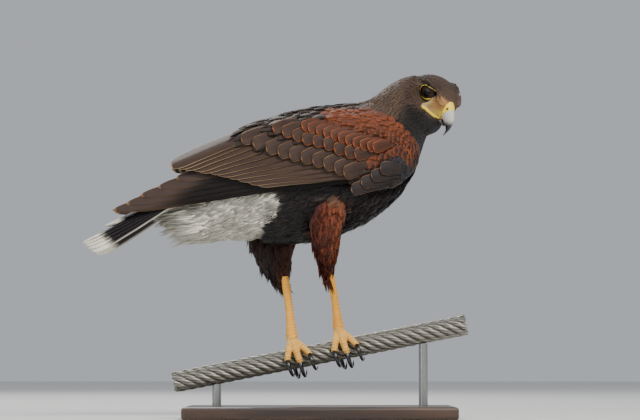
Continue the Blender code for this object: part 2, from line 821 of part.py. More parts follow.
def wing_vanes():
    """All the feathers of the right wing, tier by tier, inner tiers first."""
    draw = random.Random(SEED + 1)
    vanes = []
    count = len(PRIMARY_TIPS)
    for root, tip in zip(line_points(PRIMARY_ROOTS, count), PRIMARY_TIPS):
        offsets = (PRIMARY_OFFSET + 0.001, PRIMARY_OFFSET)
        vanes.append(wing_vane(root, tip, PRIMARY_HALF_WIDTH, offsets, PRIMARY_TILT, FLIGHT_OUTLINE))
    tips = resample(SECONDARY_TIPS, np.linspace(0.0, 1.0, SECONDARY_COUNT))
    for i, (root, tip) in enumerate(zip(line_points(SECONDARY_ROOTS, SECONDARY_COUNT), tips)):
        tip = tip + np.array((draw.uniform(-0.002, 0.002), 0.0))
        offsets = (SECONDARY_OFFSET, SECONDARY_OFFSET)
        tilt = SECONDARY_TILT * (1.0 + 0.05 * i)
        vanes.append(wing_vane(root, tip, SECONDARY_HALF_WIDTH, offsets, tilt, SECONDARY_OUTLINE))
    for tips, base in ((GREATER_TIPS, GREATER_OFFSET), (MEDIAN_TIPS, MEDIAN_OFFSET)):
        for tip in tips:
            root = (tip[0] + COVERT_LENGTH, tip[1] + COVERT_LENGTH * COVERT_SLOPE)
            offsets = (base - COVERT_SINK, base)
            vanes.append(wing_vane(root, tip, COVERT_HALF_WIDTH, offsets, COVERT_TILT, COVERT_OUTLINE))
    for root, tip in zip(line_points(HAND_ROOTS, len(HAND_TIPS)), HAND_TIPS):
        offsets = (HAND_OFFSET - COVERT_SINK, HAND_OFFSET)
        vanes.append(wing_vane(root, tip, HAND_HALF_WIDTH, offsets, HAND_TILT, COVERT_OUTLINE))
    return vanes


def build_wings(collection, materials):
    """The folded right wing and its mirror image."""
    wing = combine(wing_core(), wing_vanes(), "UNION", "MANIFOLD")
    combine(wing, [body_form("clear", CUT_GAP)], "DIFFERENCE", "MANIFOLD")
    largest_surface(wing)
    other = copy_of(wing, "wing_left")
    other.data.transform(Matrix.Scale(-1.0, 4, (0.0, 1.0, 0.0)))
    other.data.flip_normals()
    finish(wing, "wing_right", materials["rust"], collection)
    finish(other, "wing_left", materials["rust"], collection)


def tail_point(t, y, lift):
    """A point over the roof of the tail, t from root to tip, and the way up from it."""
    run = np.array((TAIL_TIP[0] - TAIL_ROOT[0], 0.0, TAIL_TIP[1] - TAIL_ROOT[1]))
    along = run / np.linalg.norm(run)
    up = np.array((-along[2], 0.0, along[0]))
    if up[2] < 0:
        up = -up
    drop = TAIL_DROP * (abs(y) / TAIL_HALF_WIDTH) ** 1.6
    slope = 1.6 * TAIL_DROP / TAIL_HALF_WIDTH * (abs(y) / TAIL_HALF_WIDTH) ** 0.6
    normal = up + np.array((0.0, math.copysign(slope, y), 0.0))
    normal = normal / np.linalg.norm(normal)
    base = np.array((TAIL_ROOT[0], 0.0, TAIL_ROOT[1])) + run * t
    return base - up * drop + np.array((0.0, y, 0.0)) + normal * lift, normal


def rectrix(index, side):
    """One tail feather, index 0 in the middle."""
    middle = np.zeros((len(FLIGHT_OUTLINE), 3, 3))
    normals = np.zeros_like(middle)
    reach = 1.0 - 0.010 * index
    for i, (t, width) in enumerate(FLIGHT_OUTLINE):
        centre = (TAIL_SPREAD_ROOT + (TAIL_SPREAD_TIP - TAIL_SPREAD_ROOT) * t) * index
        for j, place in enumerate((-1.0, 0.0, 1.0)):
            y = centre + place * RECTRIX_HALF_WIDTH * width
            if index:
                y = max(y, 0.0006 + 0.0012 * j)
                lift = RECTRIX_TILT * (y - centre) / RECTRIX_HALF_WIDTH
            else:
                lift = 0.0044 + 0.0006 * side
            point, normal = tail_point(t * reach, y * side, lift)
            middle[i, j] = point
            normals[i, j] = normal
    thickness = [VANE_THICKNESS] * len(FLIGHT_OUTLINE)
    return plate(middle, normals, thickness, "rectrix")


def build_tail(collection, materials):
    """Twelve tail feathers on a short root."""
    rings = []
    for t, thick in ((0.08, 0.8), (0.24, 1.0), (0.36, 0.35)):
        ring = []
        for y, lift in TAIL_CORE:
            ring.append(tail_point(t, y * (0.55 + 1.2 * t), lift * thick)[0])
        rings.append(ring)
    core = loft(rings, "tail")
    vanes = [rectrix(i, side) for i in range(TAIL_SIDE_FEATHERS + 1) for side in (-1, 1)]
    combine(core, vanes, "UNION", "MANIFOLD")
    behind = body_form("clear", CUT_GAP)
    behind.data.transform(Matrix.Translation((-CUT_GAP, 0.0, 0.0)))
    combine(core, [body_form("clear", CUT_GAP), behind], "DIFFERENCE", "MANIFOLD")
    largest_surface(core)
    finish(core, "tail", materials["plumage"], collection)


# Thighs: x, y, z, half length along x, half width along y
THIGHS = {
    "right": (
        (0.014, -0.038, 0.243, 0.012, 0.008),
        (0.012, -0.038, 0.232, 0.018, 0.014),
        (0.007, -0.036, 0.210, 0.019, 0.016),
        (0.008, -0.031, 0.190, 0.0145, 0.0135),
        (0.008, -0.025, 0.174, 0.0105, 0.0095),
        (0.010, -0.020, 0.159, 0.0060, 0.0058),
    ),
    "left": (
        (-0.040, 0.036, 0.240, 0.014, 0.008),
        (-0.045, 0.037, 0.226, 0.026, 0.015),
        (-0.053, 0.035, 0.205, 0.029, 0.017),
        (-0.052, 0.030, 0.185, 0.022, 0.014),
        (-0.048, 0.025, 0.167, 0.015, 0.010),
        (-0.040, 0.020, 0.152, 0.0068, 0.0062),
    ),
}
# Legs: foot place along the cable, and the radius of the shank
LEGS = {"right": (0.0255, -0.0010, 0.0045), "left": (-0.0275, 0.0010, 0.0047)}
TOES = (
    # axial reach, first and last turn in degrees, base and end radius, claw length in degrees
    ("inner", -0.010, 8.0, 96.0, 0.0042, 0.0032),
    ("middle", 0.004, 14.0, 112.0, 0.0044, 0.0033),
    ("outer", 0.017, 10.0, 88.0, 0.0040, 0.0030),
    ("hind", -0.004, -14.0, -112.0, 0.0044, 0.0034),
)
CLAW_SWEEP = math.radians(78.0)
CLAW_DROP = 0.0085
CLAW_DRIFT = 0.006


def cable_point(axial, turn, reach):
    """A point round the cable: distance along it, turn from the top over the near side, radius."""
    along = Vector((math.cos(CABLE_SLOPE), 0.0, math.sin(CABLE_SLOPE)))
    up = Vector((-math.sin(CABLE_SLOPE), 0.0, math.cos(CABLE_SLOPE)))
    near = Vector((0.0, -1.0, 0.0))
    origin = Vector((0.0, 0.0, CABLE_HEIGHT))
    return origin + along * axial + up * (math.cos(turn) * reach) + near * (math.sin(turn) * reach)


def toe_path(foot, axial, first, last, radii, count=7):
    """Points and radii of one toe wrapped round the cable."""
    points = []
    sizes = []
    for i in range(count):
        t = i / (count - 1)
        radius = radii[0] + (radii[1] - radii[0]) * t
        radius *= 1.0 + 0.07 * math.sin(3.0 * math.pi * t) ** 2
        turn = math.radians(first + (last - first) * t)
        reach = CABLE_RADIUS + CUT_GAP + radius * 1.10 + 0.0035 * (1.0 - t) ** 2
        points.append(cable_point(foot + axial * t**0.8, turn, reach))
        sizes.append(radius)
    return points, sizes


def claw(path, radius, turn, sign, name):
    """A hooked claw from the end of a toe, hanging round the under side of the cable."""
    start = path[-1]
    tangent = (path[-1] - path[-2]).normalized()
    along = Vector((math.cos(CABLE_SLOPE), 0.0, math.sin(CABLE_SLOPE)))
    origin = Vector((0.0, 0.0, CABLE_HEIGHT))
    begin = start - tangent * radius * 0.4
    axial = (begin - origin).dot(along)
    reach = (begin - origin - along * axial).length
    count = 7
    points = []
    sizes = []
    for i in range(count):
        t = i / (count - 1)
        bulge = CLAW_DROP * math.sin(math.pi * t) + (0.0022 - 0.0035 * t) * t
        angle = math.radians(turn) + sign * (CLAW_SWEEP * t - 0.4 * radius / reach)
        points.append(cable_point(axial + CLAW_DRIFT * t**1.5, angle, reach + bulge))
        sizes.append(radius * 0.86 * (1.0 - t) ** 0.75 + 0.0003)
    hook = tube(points, sizes, 6, name)
    return cut_plane(hook, start + tangent * CUT_GAP, tangent)


def thigh_point(stations, place, turn, lift):
    """A point of a thigh's surface, place 0 at its top and 1 at the shank, and the way out there."""
    x, y, z, rx, ry = resample(stations, [place])[0]
    spoke = np.array((math.cos(turn), math.sin(turn), 0.0))
    point = np.array((x + rx * spoke[0], y + ry * spoke[1], z))
    out = np.array((spoke[0] / rx, spoke[1] / ry, 0.0))
    out = out / np.linalg.norm(out)
    return point + out * lift, out


def shaggy_locks(stations, draw):
    """The long loose feathers of one thigh, lying down it and hanging past the top of the shank."""
    locks = []
    rows = ((0.28, 0.68, 8), (0.54, 0.98, 8))
    for row, (start, stop, count) in enumerate(rows):
        for k in range(count):
            turn = 2.0 * math.pi * (k + 0.5 * (row % 2)) / count
            root, _ = thigh_point(stations, start, turn, -0.0028)
            over = LOCK_STEP * (k % 2)
            tip, out = thigh_point(stations, stop, turn, 0.0042 - 0.002 * row + over)
            rear = max(0.0, -math.cos(turn))
            tip = tip + np.array((-0.006 * rear, 0.0, -0.004 * rear))
            tip = tip + (tip - root) * 0.10 * draw.uniform(-1.0, 1.0)
            bend = 0.0030 - 0.001 * row + over
            locks.append(free_vane(root, tip, out, 0.0082 - 0.002 * row, LOCK_OUTLINE, bend, "lock"))
    return locks


def build_leg(side, collection, materials):
    """One thigh with its locks, the shank with its toes, and the four claws."""
    stations = THIGHS[side]
    rings = []
    for x, y, z, rx, ry in resample(stations, np.linspace(0.0, 1.0, 9)):
        ring = []
        for k in range(12):
            turn = 2.0 * math.pi * k / 12
            ring.append((x + rx * math.cos(turn), y + ry * math.sin(turn), z))
        rings.append(ring)
    thigh = loft(rings, "thigh")
    draw = random.Random(SEED + len(side))
    combine(thigh, shaggy_locks(stations, draw), "UNION", "MANIFOLD")
    combine(thigh, [body_form("clear", CUT_GAP)], "DIFFERENCE", "MANIFOLD")
    largest_surface(thigh)

    foot, foot_y, shank = LEGS[side]
    x, y, z = stations[-1][:3]
    pad = cable_point(foot, 0.0, CABLE_RADIUS + CUT_GAP + 0.0068)
    knee = Vector((x, y, z - GAP))
    path = [knee, knee + Vector((0.0, 0.0, -0.004))]
    ankle = Vector((pad.x - 0.001, foot_y, pad.z + 0.006))
    for i in range(1, 6):
        t = i / 5
        path.append(path[1].lerp(ankle, t) + Vector((0.0010 * math.sin(math.pi * t), 0.0, 0.0)))
    sizes = [shank, shank, shank * 0.96, shank * 0.96, shank * 1.02, shank * 1.15, shank * 1.35]
    leg = tube(path, sizes, 10, "leg")
    pieces = [tube([ankle, pad + Vector((0.0, 0.0, 0.0005))], [shank * 1.38, 0.0062], 12, "pad")]
    claws = []
    for name, axial, first, last, base, end in TOES:
        points, radii = toe_path(foot, axial, first, last, (base, end))
        pieces.append(tube(points, radii, 7, "toe"))
        sign = 1.0 if last > 0 else -1.0
        claws.append(claw(points, radii[-1], last, sign, f"claw_{side}_{name}"))
    combine(leg, pieces, "UNION")
    largest_surface(leg)
    cable_clear = tube(
        [cable_point(-0.08, 0.0, 0.0), cable_point(0.08, 0.0, 0.0)], [CABLE_RADIUS + GAP] * 2, 32, "clear"
    )
    combine(leg, [cable_clear], "DIFFERENCE")
    largest_surface(leg)
    finish(thigh, f"thigh_{side}", materials["rust"], collection)
    finish(leg, f"leg_{side}", materials["skin"], collection)
    for obj in claws:
        finish(obj, obj.name, materials["horn"], collection)


def build_cable(collection, materials):
    """A cut length of the stranded cable that the bird grips."""
    steps = 36
    rings = []
    for i in range(steps + 1):
        axial = CABLE_LENGTH * (i / steps - 0.5)
        ring = []
        for k in range(2 * CABLE_STRANDS):
            reach = CABLE_VALLEY if k % 2 else CABLE_RADIUS
            turn = math.pi * k / CABLE_STRANDS + 2.0 * math.pi * axial / CABLE_LEAD
            ring.append(cable_point(axial, turn, reach))
        rings.append(ring)
    cable = loft(rings, "perch_cable")
    finish(cable, "perch_cable", materials["steel"], collection)


def build_stand(collection, materials):
    """A flat base and two rods that carry the cable."""
    bm = bmesh.new()
    bmesh.ops.create_cube(bm, size=1.0)
    for vert in bm.verts:
        vert.co.z += 0.5
        vert.co *= Vector(BASE_SIZE)
    base = object_from(bm, "stand_base")
    bevel = base.modifiers.new("edges", "BEVEL")
    bevel.width = BASE_BEVEL
    bevel.segments = 2
    finish(base, "stand_base", materials["wood"], collection, smooth=False)
    for number, x in enumerate(ROD_PLACES, start=1):
        top = CABLE_HEIGHT + x * math.tan(CABLE_SLOPE)
        bm = bmesh.new()
        length = top - BASE_SIZE[2] - GAP
        bmesh.ops.create_cone(
            bm, cap_ends=True, segments=20, radius1=ROD_RADIUS, radius2=ROD_RADIUS, depth=length
        )
        for vert in bm.verts:
            vert.co += Vector((x, 0.0, BASE_SIZE[2] + GAP + 0.5 * length))
        rod = object_from(bm, "rod")
        ends = [cable_point(x + shift, 0.0, 0.0) for shift in (-0.04, 0.04)]
        combine(rod, [tube(ends, [CABLE_RADIUS + GAP] * 2, 40, "clear")], "DIFFERENCE")
        largest_surface(rod)
        finish(rod, f"stand_rod_{number}", materials["steel"], collection)


def main():
    """Build the model in the order body, face, wings, tail, legs, perch."""
    clear_scene()
    collection = make_collection("harris_hawk")
    materials = {name: make_material(name) for name in COLOURS}
    build_body(collection, materials)
    build_face(collection, materials)
    build_wings(collection, materials)
    build_tail(collection, materials)
    for side in ("right", "left"):
        build_leg(side, collection, materials)
    build_cable(collection, materials)
    build_stand(collection, materials)


main()
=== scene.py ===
"""A Harris's hawk on a cut length of cable: skin, plumage, bare parts, perch, stand and studio.

Frame: +X is the way the body faces, +Y its left side, +Z up, in metres. The bird's right side is at -Y,
where the camera stands. The head turns to its right and looks down.
"""

import json
import logging
import math
from dataclasses import dataclass
from enum import Enum
from typing import Any, Callable, Optional, Sequence, Union

import bmesh
import bpy
import numpy as np
from mathutils import Matrix, Vector
from mathutils.bvhtree import BVHTree

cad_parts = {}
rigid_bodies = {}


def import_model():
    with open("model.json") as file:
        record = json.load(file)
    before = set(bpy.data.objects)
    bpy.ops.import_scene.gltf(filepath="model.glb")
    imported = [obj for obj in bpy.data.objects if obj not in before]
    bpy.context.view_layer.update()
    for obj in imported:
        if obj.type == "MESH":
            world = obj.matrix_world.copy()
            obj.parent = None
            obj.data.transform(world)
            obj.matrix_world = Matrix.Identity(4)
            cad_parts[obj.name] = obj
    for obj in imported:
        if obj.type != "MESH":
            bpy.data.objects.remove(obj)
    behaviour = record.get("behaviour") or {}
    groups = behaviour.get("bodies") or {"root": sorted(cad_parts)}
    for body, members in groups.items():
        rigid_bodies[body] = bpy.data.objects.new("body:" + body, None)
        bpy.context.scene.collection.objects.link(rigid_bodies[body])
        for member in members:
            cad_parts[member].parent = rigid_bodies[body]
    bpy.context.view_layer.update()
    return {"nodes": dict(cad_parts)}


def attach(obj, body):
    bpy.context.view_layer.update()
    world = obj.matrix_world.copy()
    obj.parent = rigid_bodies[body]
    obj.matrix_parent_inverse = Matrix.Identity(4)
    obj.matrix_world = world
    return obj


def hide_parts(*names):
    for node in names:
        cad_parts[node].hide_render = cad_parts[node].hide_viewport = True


Array = np.ndarray
Colour = tuple[float, float, float]
Form = tuple[Array, list[list[int]]]
Level = Union["Socket", float]
log = logging.getLogger("hawk")
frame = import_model()
BODY = "root"


def tint(red: int, green: int, blue: int) -> Colour:
    """Turn a colour as seen on a screen, 0 to 255, into the linear one that a shader takes.

    Args:
        red: red, 0 to 255.
        green: green, 0 to 255.
        blue: blue, 0 to 255.
    Returns:
        The linear colour.
    """
    parts = [value / 255.0 for value in (red, green, blue)]
    linear = [p / 12.92 if p <= 0.04045 else ((p + 0.055) / 1.055) ** 2.4 for p in parts]
    return (linear[0], linear[1], linear[2])


CROWN_BROWN = tint(78, 60, 48)
NECK_BROWN = tint(84, 66, 53)
MANTLE_BROWN = tint(54, 43, 38)
# Dark brown of the breast and belly, darkened further by painted shade.
SHADED_BELLY_BROWN = tint(31, 25, 25)
WING_BROWN = tint(66, 50, 41)
QUILL_BROWN = tint(66, 52, 46)
RUST = tint(124, 64, 37)
RUST_EDGE = tint(160, 86, 46)
BUFF = tint(146, 108, 74)
PALE_BUFF = tint(190, 162, 122)
CREAM = tint(236, 230, 212)
CHESTNUT = tint(102, 47, 30)
# Chestnut darkened by painted shade, for the far thigh.
SHADED_FAR_CHESTNUT = tint(42, 25, 22)
TAIL_DARK = tint(32, 27, 29)
CARPAL_DARK = tint(44, 42, 47)
LORE_PALE = tint(186, 166, 116)
LORE_TAN = tint(170, 124, 72)
# Near black: painted shade under the chin and on the front of the neck.
CHIN_SHADE = tint(22, 17, 18)
BROW_YELLOW = tint(196, 178, 96)
LEG_YELLOW = tint(238, 168, 58)
CERE_YELLOW = tint(246, 208, 62)
LID_YELLOW = tint(226, 200, 50)
HORN_BLUE = tint(200, 194, 184)
HORN_BLACK = tint(30, 28, 32)
CLAW_BLACK = tint(26, 24, 26)
# Paler flank brown: painted light where the near flank is lit past the wing's shadow.
LIT_FLANK_BROWN = tint(104, 70, 52)
BRISTLE_BROWN = tint(96, 76, 56)
MEDIAN_BROWN = tint(66, 46, 36)
LESSER_RUST = tint(84, 46, 30)
HAND_DARK = tint(42, 35, 35)
IRIS_BROWN = tint(46, 26, 18)
PUPIL_BLACK = (0.002, 0.002, 0.002)
EYE_RIM_BLACK = (0.003, 0.002, 0.002)
LID_BLACK = (0.004, 0.003, 0.003)
NOSTRIL_BROWN = tint(70, 30, 16)
LOWER_BILL_YELLOW = tint(150, 128, 50)
LOWER_BILL_DARK = tint(66, 54, 62)
TOE_YELLOW = tint(238, 180, 84)
SCUTE_GROOVE = tint(150, 98, 42)
FLOOR_GREY = tint(214, 214, 212)
FLOOR_PALE = tint(224, 224, 222)
TEMPLATE_SEED = 5
COAT_SEED = 23
VANE_SEED = 41
QUILL_SEED = 61
SPINE_POINTS = 80
SPINE_RUN = 0.33
UNROLLED_START = 0.14
UNROLLED_LENGTH = 0.62


def smooth(low: float, high: float, values: Array) -> Array:
    """Rise smoothly from 0 at low to 1 at high, or fall where high is below low."""
    t = np.clip((np.asarray(values, dtype=float) - low) / (high - low), 0.0, 1.0)
    return t * t * (3.0 - 2.0 * t)


def unit(vectors: Array) -> Array:
    """Scale each row to length one."""
    vectors = np.asarray(vectors, dtype=float)
    return vectors / np.maximum(np.linalg.norm(vectors, axis=-1, keepdims=True), 1e-9)


def lerp(first: Array, second: Array, share: Array) -> Array:
    """Mix two values or colours by a share for each row.

    Args:
        first: the value or rows at share 0.
        second: the value or rows at share 1.
        share: one number for each row.
    Returns:
        The mixed values.
    """
    share = np.asarray(share, dtype=float)
    if np.ndim(first) > 0 or np.ndim(second) > 0:
        share = share[..., None]
    return np.asarray(first) * (1.0 - share) + np.asarray(second) * share


def resample(keys: Sequence[Sequence[float]], places: Array) -> Array:
    """Read a smooth curve through rows of keys.

    Args:
        keys: rows of numbers, evenly spaced in place.
        places: where to read, from 0 to 1.
    Returns:
        One row for each place.
    """
    rows = np.asarray(keys, dtype=float)
    last = len(rows) - 1
    spot = np.clip(np.asarray(places, dtype=float), 0.0, 1.0) * last
    first = np.minimum(spot.astype(int), last - 1)
    t = (spot - first)[:, None]
    before, start = rows[np.maximum(first - 1, 0)], rows[first]
    end, after = rows[first + 1], rows[np.minimum(first + 2, last)]
    leaving, arriving = 0.5 * (end - before), 0.5 * (after - start)
    return (
        start * (2 * t**3 - 3 * t**2 + 1)
        + leaving * (t**3 - 2 * t**2 + t)
        + end * (3 * t**2 - 2 * t**3)
        + arriving * (t**3 - t**2)
    )


def curve(keys: Sequence[Sequence[float]], count: int) -> Array:
    """Read a smooth curve through rows of keys at evenly spaced places."""
    return resample(keys, np.linspace(0.0, 1.0, count))


def circle(count: int) -> Array:
    """Angles once round, evenly spaced."""
    return 2.0 * np.pi * np.arange(count) / count


class Side(Enum):
    """The two sides of the bird, with the sign of Y."""

    RIGHT = -1.0
    LEFT = 1.0

    @property
    def label(self) -> str:
        """The side's name in node and piece names."""
        return self.name.lower()


class Template(Enum):
    """The small feather shapes that coats are laid with."""

    LEAF = "leaf"
    PLUME = "plume"
    BRISTLE = "bristle"


class MeshParts:
    """Collects points, faces and what is painted on the points, and makes one mesh of them."""

    def __init__(self) -> None:
        """Start empty."""
        self.points: list[Array] = []
        self.faces: list[list[int]] = []
        self.looks: dict[str, list[Array]] = {}
        self.count = 0

    def add(self, points: Array, faces: Sequence[Sequence[int]], **looks: Array) -> None:
        """Add one closed form.

        Args:
            points: its points, one row each.
            faces: its faces, as indices into points.
            looks: for each painted layer, one row a point, or one row for all.
        """
        points = np.asarray(points, dtype=float).reshape(-1, 3)
        for name, values in looks.items():
            rows = np.broadcast_to(np.asarray(values, dtype=float), (len(points), np.shape(values)[-1]))
            self.looks.setdefault(name, []).append(rows)
        self.points.append(points)
        self.faces.extend([[i + self.count for i in face] for face in faces])
        self.count += len(points)

    def build(self, name: str) -> bpy.types.Object:
        """Make the object, with two-number layers as UV maps and the others as attributes.

        Args:
            name: the object's name.
        Returns:
            The object, linked to the scene.
        """
        mesh = bpy.data.meshes.new(name)
        mesh.from_pydata(np.concatenate(self.points).tolist(), [], self.faces)
        for layer, rows in self.looks.items():
            paint(mesh, layer, np.concatenate(rows))
        mesh.shade_smooth()
        return link(mesh, name)


def link(mesh: bpy.types.Mesh, name: str) -> bpy.types.Object:
    """Put a mesh in the scene as an object of that name.

    Args:
        mesh: the mesh.
        name: the object's name.
    Returns:
        The object.
    """
    obj = bpy.data.objects.new(name, mesh)
    bpy.context.scene.collection.objects.link(obj)
    return obj


def paint(mesh: bpy.types.Mesh, layer: str, rows: Array) -> None:
    """Store one painted layer.

    Args:
        mesh: the mesh.
        layer: the layer's name.
        rows: one row a point: two numbers make a UV map, three a colour, one a number.
    """
    rows = np.asarray(rows, dtype=np.float32)
    if rows.shape[1] == 2:
        mesh.uv_layers.new(name=layer).uv.foreach_set("vector", rows[corners_of(mesh)].ravel())
    elif rows.shape[1] == 3:
        full = np.ones((len(rows), 4), dtype=np.float32)
        full[:, :3] = rows
        mesh.attributes.new(layer, "FLOAT_COLOR", "POINT").data.foreach_set("color", full.ravel())
    else:
        mesh.attributes.new(layer, "FLOAT", "POINT").data.foreach_set("value", rows.ravel())


def points_of(mesh: bpy.types.Mesh) -> Array:
    """All points of a mesh, one row each.

    Args:
        mesh: the mesh.
    Returns:
        The points.
    """
    flat = np.zeros(len(mesh.vertices) * 3)
    mesh.vertices.foreach_get("co", flat)
    return flat.reshape(-1, 3)


def normals_of(mesh: bpy.types.Mesh) -> Array:
    """The outward direction at each point of a mesh.

    Args:
        mesh: the mesh.
    Returns:
        One unit row for each point.
    """
    flat = np.zeros(len(mesh.vertices) * 3, dtype=np.float32)
    mesh.vertex_normals.foreach_get("vector", flat)
    return flat.reshape(-1, 3).astype(float)


def corners_of(mesh: bpy.types.Mesh) -> Array:
    """The index of the point at each corner of the faces.

    Args:
        mesh: the mesh.
    Returns:
        The indices.
    """
    corners = np.zeros(len(mesh.loops), dtype=np.int32)
    mesh.loops.foreach_get("vertex_index", corners)
    return corners


def settle(obj: bpy.types.Object) -> None:
    """Give the object the mesh that its modifiers make, and drop them.

    Args:
        obj: the object.
    """
    graph = bpy.context.evaluated_depsgraph_get()
    obj.data = bpy.data.meshes.new_from_object(obj.evaluated_get(graph))
    obj.modifiers.clear()


def loft(rings: Array, closed: bool = False) -> Form:
    """Skin a row of rings.

    Args:
        rings: points, by ring and by place on the ring.
        closed: whether the last ring meets the first.
    Returns:
        The points and the faces, with caps where the row is open.
    """
    rows, count = rings.shape[:2]
    faces = []
    for i in range(rows if closed else rows - 1):
        j = (i + 1) % rows
        for k in range(count):
            m = (k + 1) % count
            faces.append([i * count + k, i * count + m, j * count + m, j * count + k])
    if not closed:
        faces.append(list(range(count))[::-1])
        faces.append([(rows - 1) * count + k for k in range(count)])
    return rings.reshape(-1, 3), faces


def tube(path: Array, radii: Array, sides: int, closed: bool = False) -> Form:
    """A round bar along a path.

    Args:
        path: points along its middle.
        radii: a radius at each point, or two across and outwards.
        sides: points round it.
        closed: whether it joins its own start.
    Returns:
        The points and faces of the bar.
    """
    path = np.asarray(path, dtype=float)
    if closed:
        tangents = unit(np.roll(path, -1, axis=0) - np.roll(path, 1, axis=0))
    else:
        tangents = unit(np.gradient(path, axis=0))
    helper = np.array((0.0, 0.0, 1.0)) if abs(tangents[0][2]) < 0.9 else np.array((1.0, 0.0, 0.0))
    normal = unit(np.cross(tangents[0], helper))
    turns = circle(sides)
    rings = []
    for point, tangent, radius in zip(path, tangents, radii):
        normal = unit(normal - tangent * normal.dot(tangent))
        other = np.cross(tangent, normal)
        rings.append(point + radius * (np.outer(np.cos(turns), normal) + np.outer(np.sin(turns), other)))
    return loft(np.array(rings), closed)


def outward(obj: bpy.types.Object) -> bpy.types.Object:
    """Turn all faces of a closed mesh outwards.

    Args:
        obj: the object.
    Returns:
        The same object.
    """
    bm = bmesh.new()
    bm.from_mesh(obj.data)
    bmesh.ops.recalc_face_normals(bm, faces=bm.faces)
    bm.to_mesh(obj.data)
    bm.free()
    return obj


def closed(name: str, form: Form, **looks: Array) -> bpy.types.Object:
    """Make one closed form, with its painted layers, an object of that name.

    Args:
        name: the object's name.
        form: its points and faces.
        looks: its painted layers.
    Returns:
        The object.
    """
    parts = MeshParts()
    parts.add(*form, **looks)
    return outward(parts.build(name))


def one_skin(parts: MeshParts, name: str, voxel: float, rounds: int) -> bpy.types.Object:
    """Join closed forms under one skin.

    Args:
        parts: the forms, which may cross.
        name: the object's name.
        voxel: the size of the new mesh's cells.
        rounds: how often it is softened.
    Returns:
        The object.
    """
    obj = outward(parts.build(name))
    remesh = obj.modifiers.new("one skin", "REMESH")
    remesh.mode = "VOXEL"
    remesh.voxel_size = voxel
    soften = obj.modifiers.new("soften", "SMOOTH")
    soften.factor = 0.5
    soften.iterations = rounds
    settle(obj)
    return obj


class Socket:
    """A shader socket that Python operators work on, adding Math nodes."""

    def __init__(self, shader: "Shader", link_to: Any) -> None:
        """Keep the shader and the output socket."""
        self.shader = shader
        self.socket = link_to

    def _math(self, operation: str, *others: Level, swap: bool = False) -> "Socket":
        """Add one Math node on this socket and the others.

        Args:
            operation: the node's operation.
            others: the other inputs.
            swap: whether they come first.
        Returns:
            The node's output.
        """
        values = [self, *others]
        if swap:
            values.reverse()
        return self.shader.make("ShaderNodeMath", dict(enumerate(values)), operation=operation)

    def __add__(self, other: Level) -> "Socket":
        """Add."""
        return self._math("ADD", other)

    def __mul__(self, other: Level) -> "Socket":
        """Multiply."""
        return self._math("MULTIPLY", other)

    def __sub__(self, other: Level) -> "Socket":
        """Subtract the other."""
        return self._math("SUBTRACT", other)

    def __rsub__(self, other: float) -> "Socket":
        """Subtract this from a number."""
        return self._math("SUBTRACT", other, swap=True)

    def __abs__(self) -> "Socket":
        """Drop the sign."""
        return self._math("ABSOLUTE")

    def most(self, other: Level) -> "Socket":
        """The larger of two."""
        return self._math("MAXIMUM", other)

    def sine(self) -> "Socket":
        """The sine."""
        return self._math("SINE")

    def rise(self, low: Level, high: Level) -> "Socket":
        """Go smoothly from 0 at low to 1 at high."""
        values = {"Value": self, "From Min": low, "From Max": high}
        return self.shader.make("ShaderNodeMapRange", values, "Result", interpolation_type="SMOOTHSTEP")


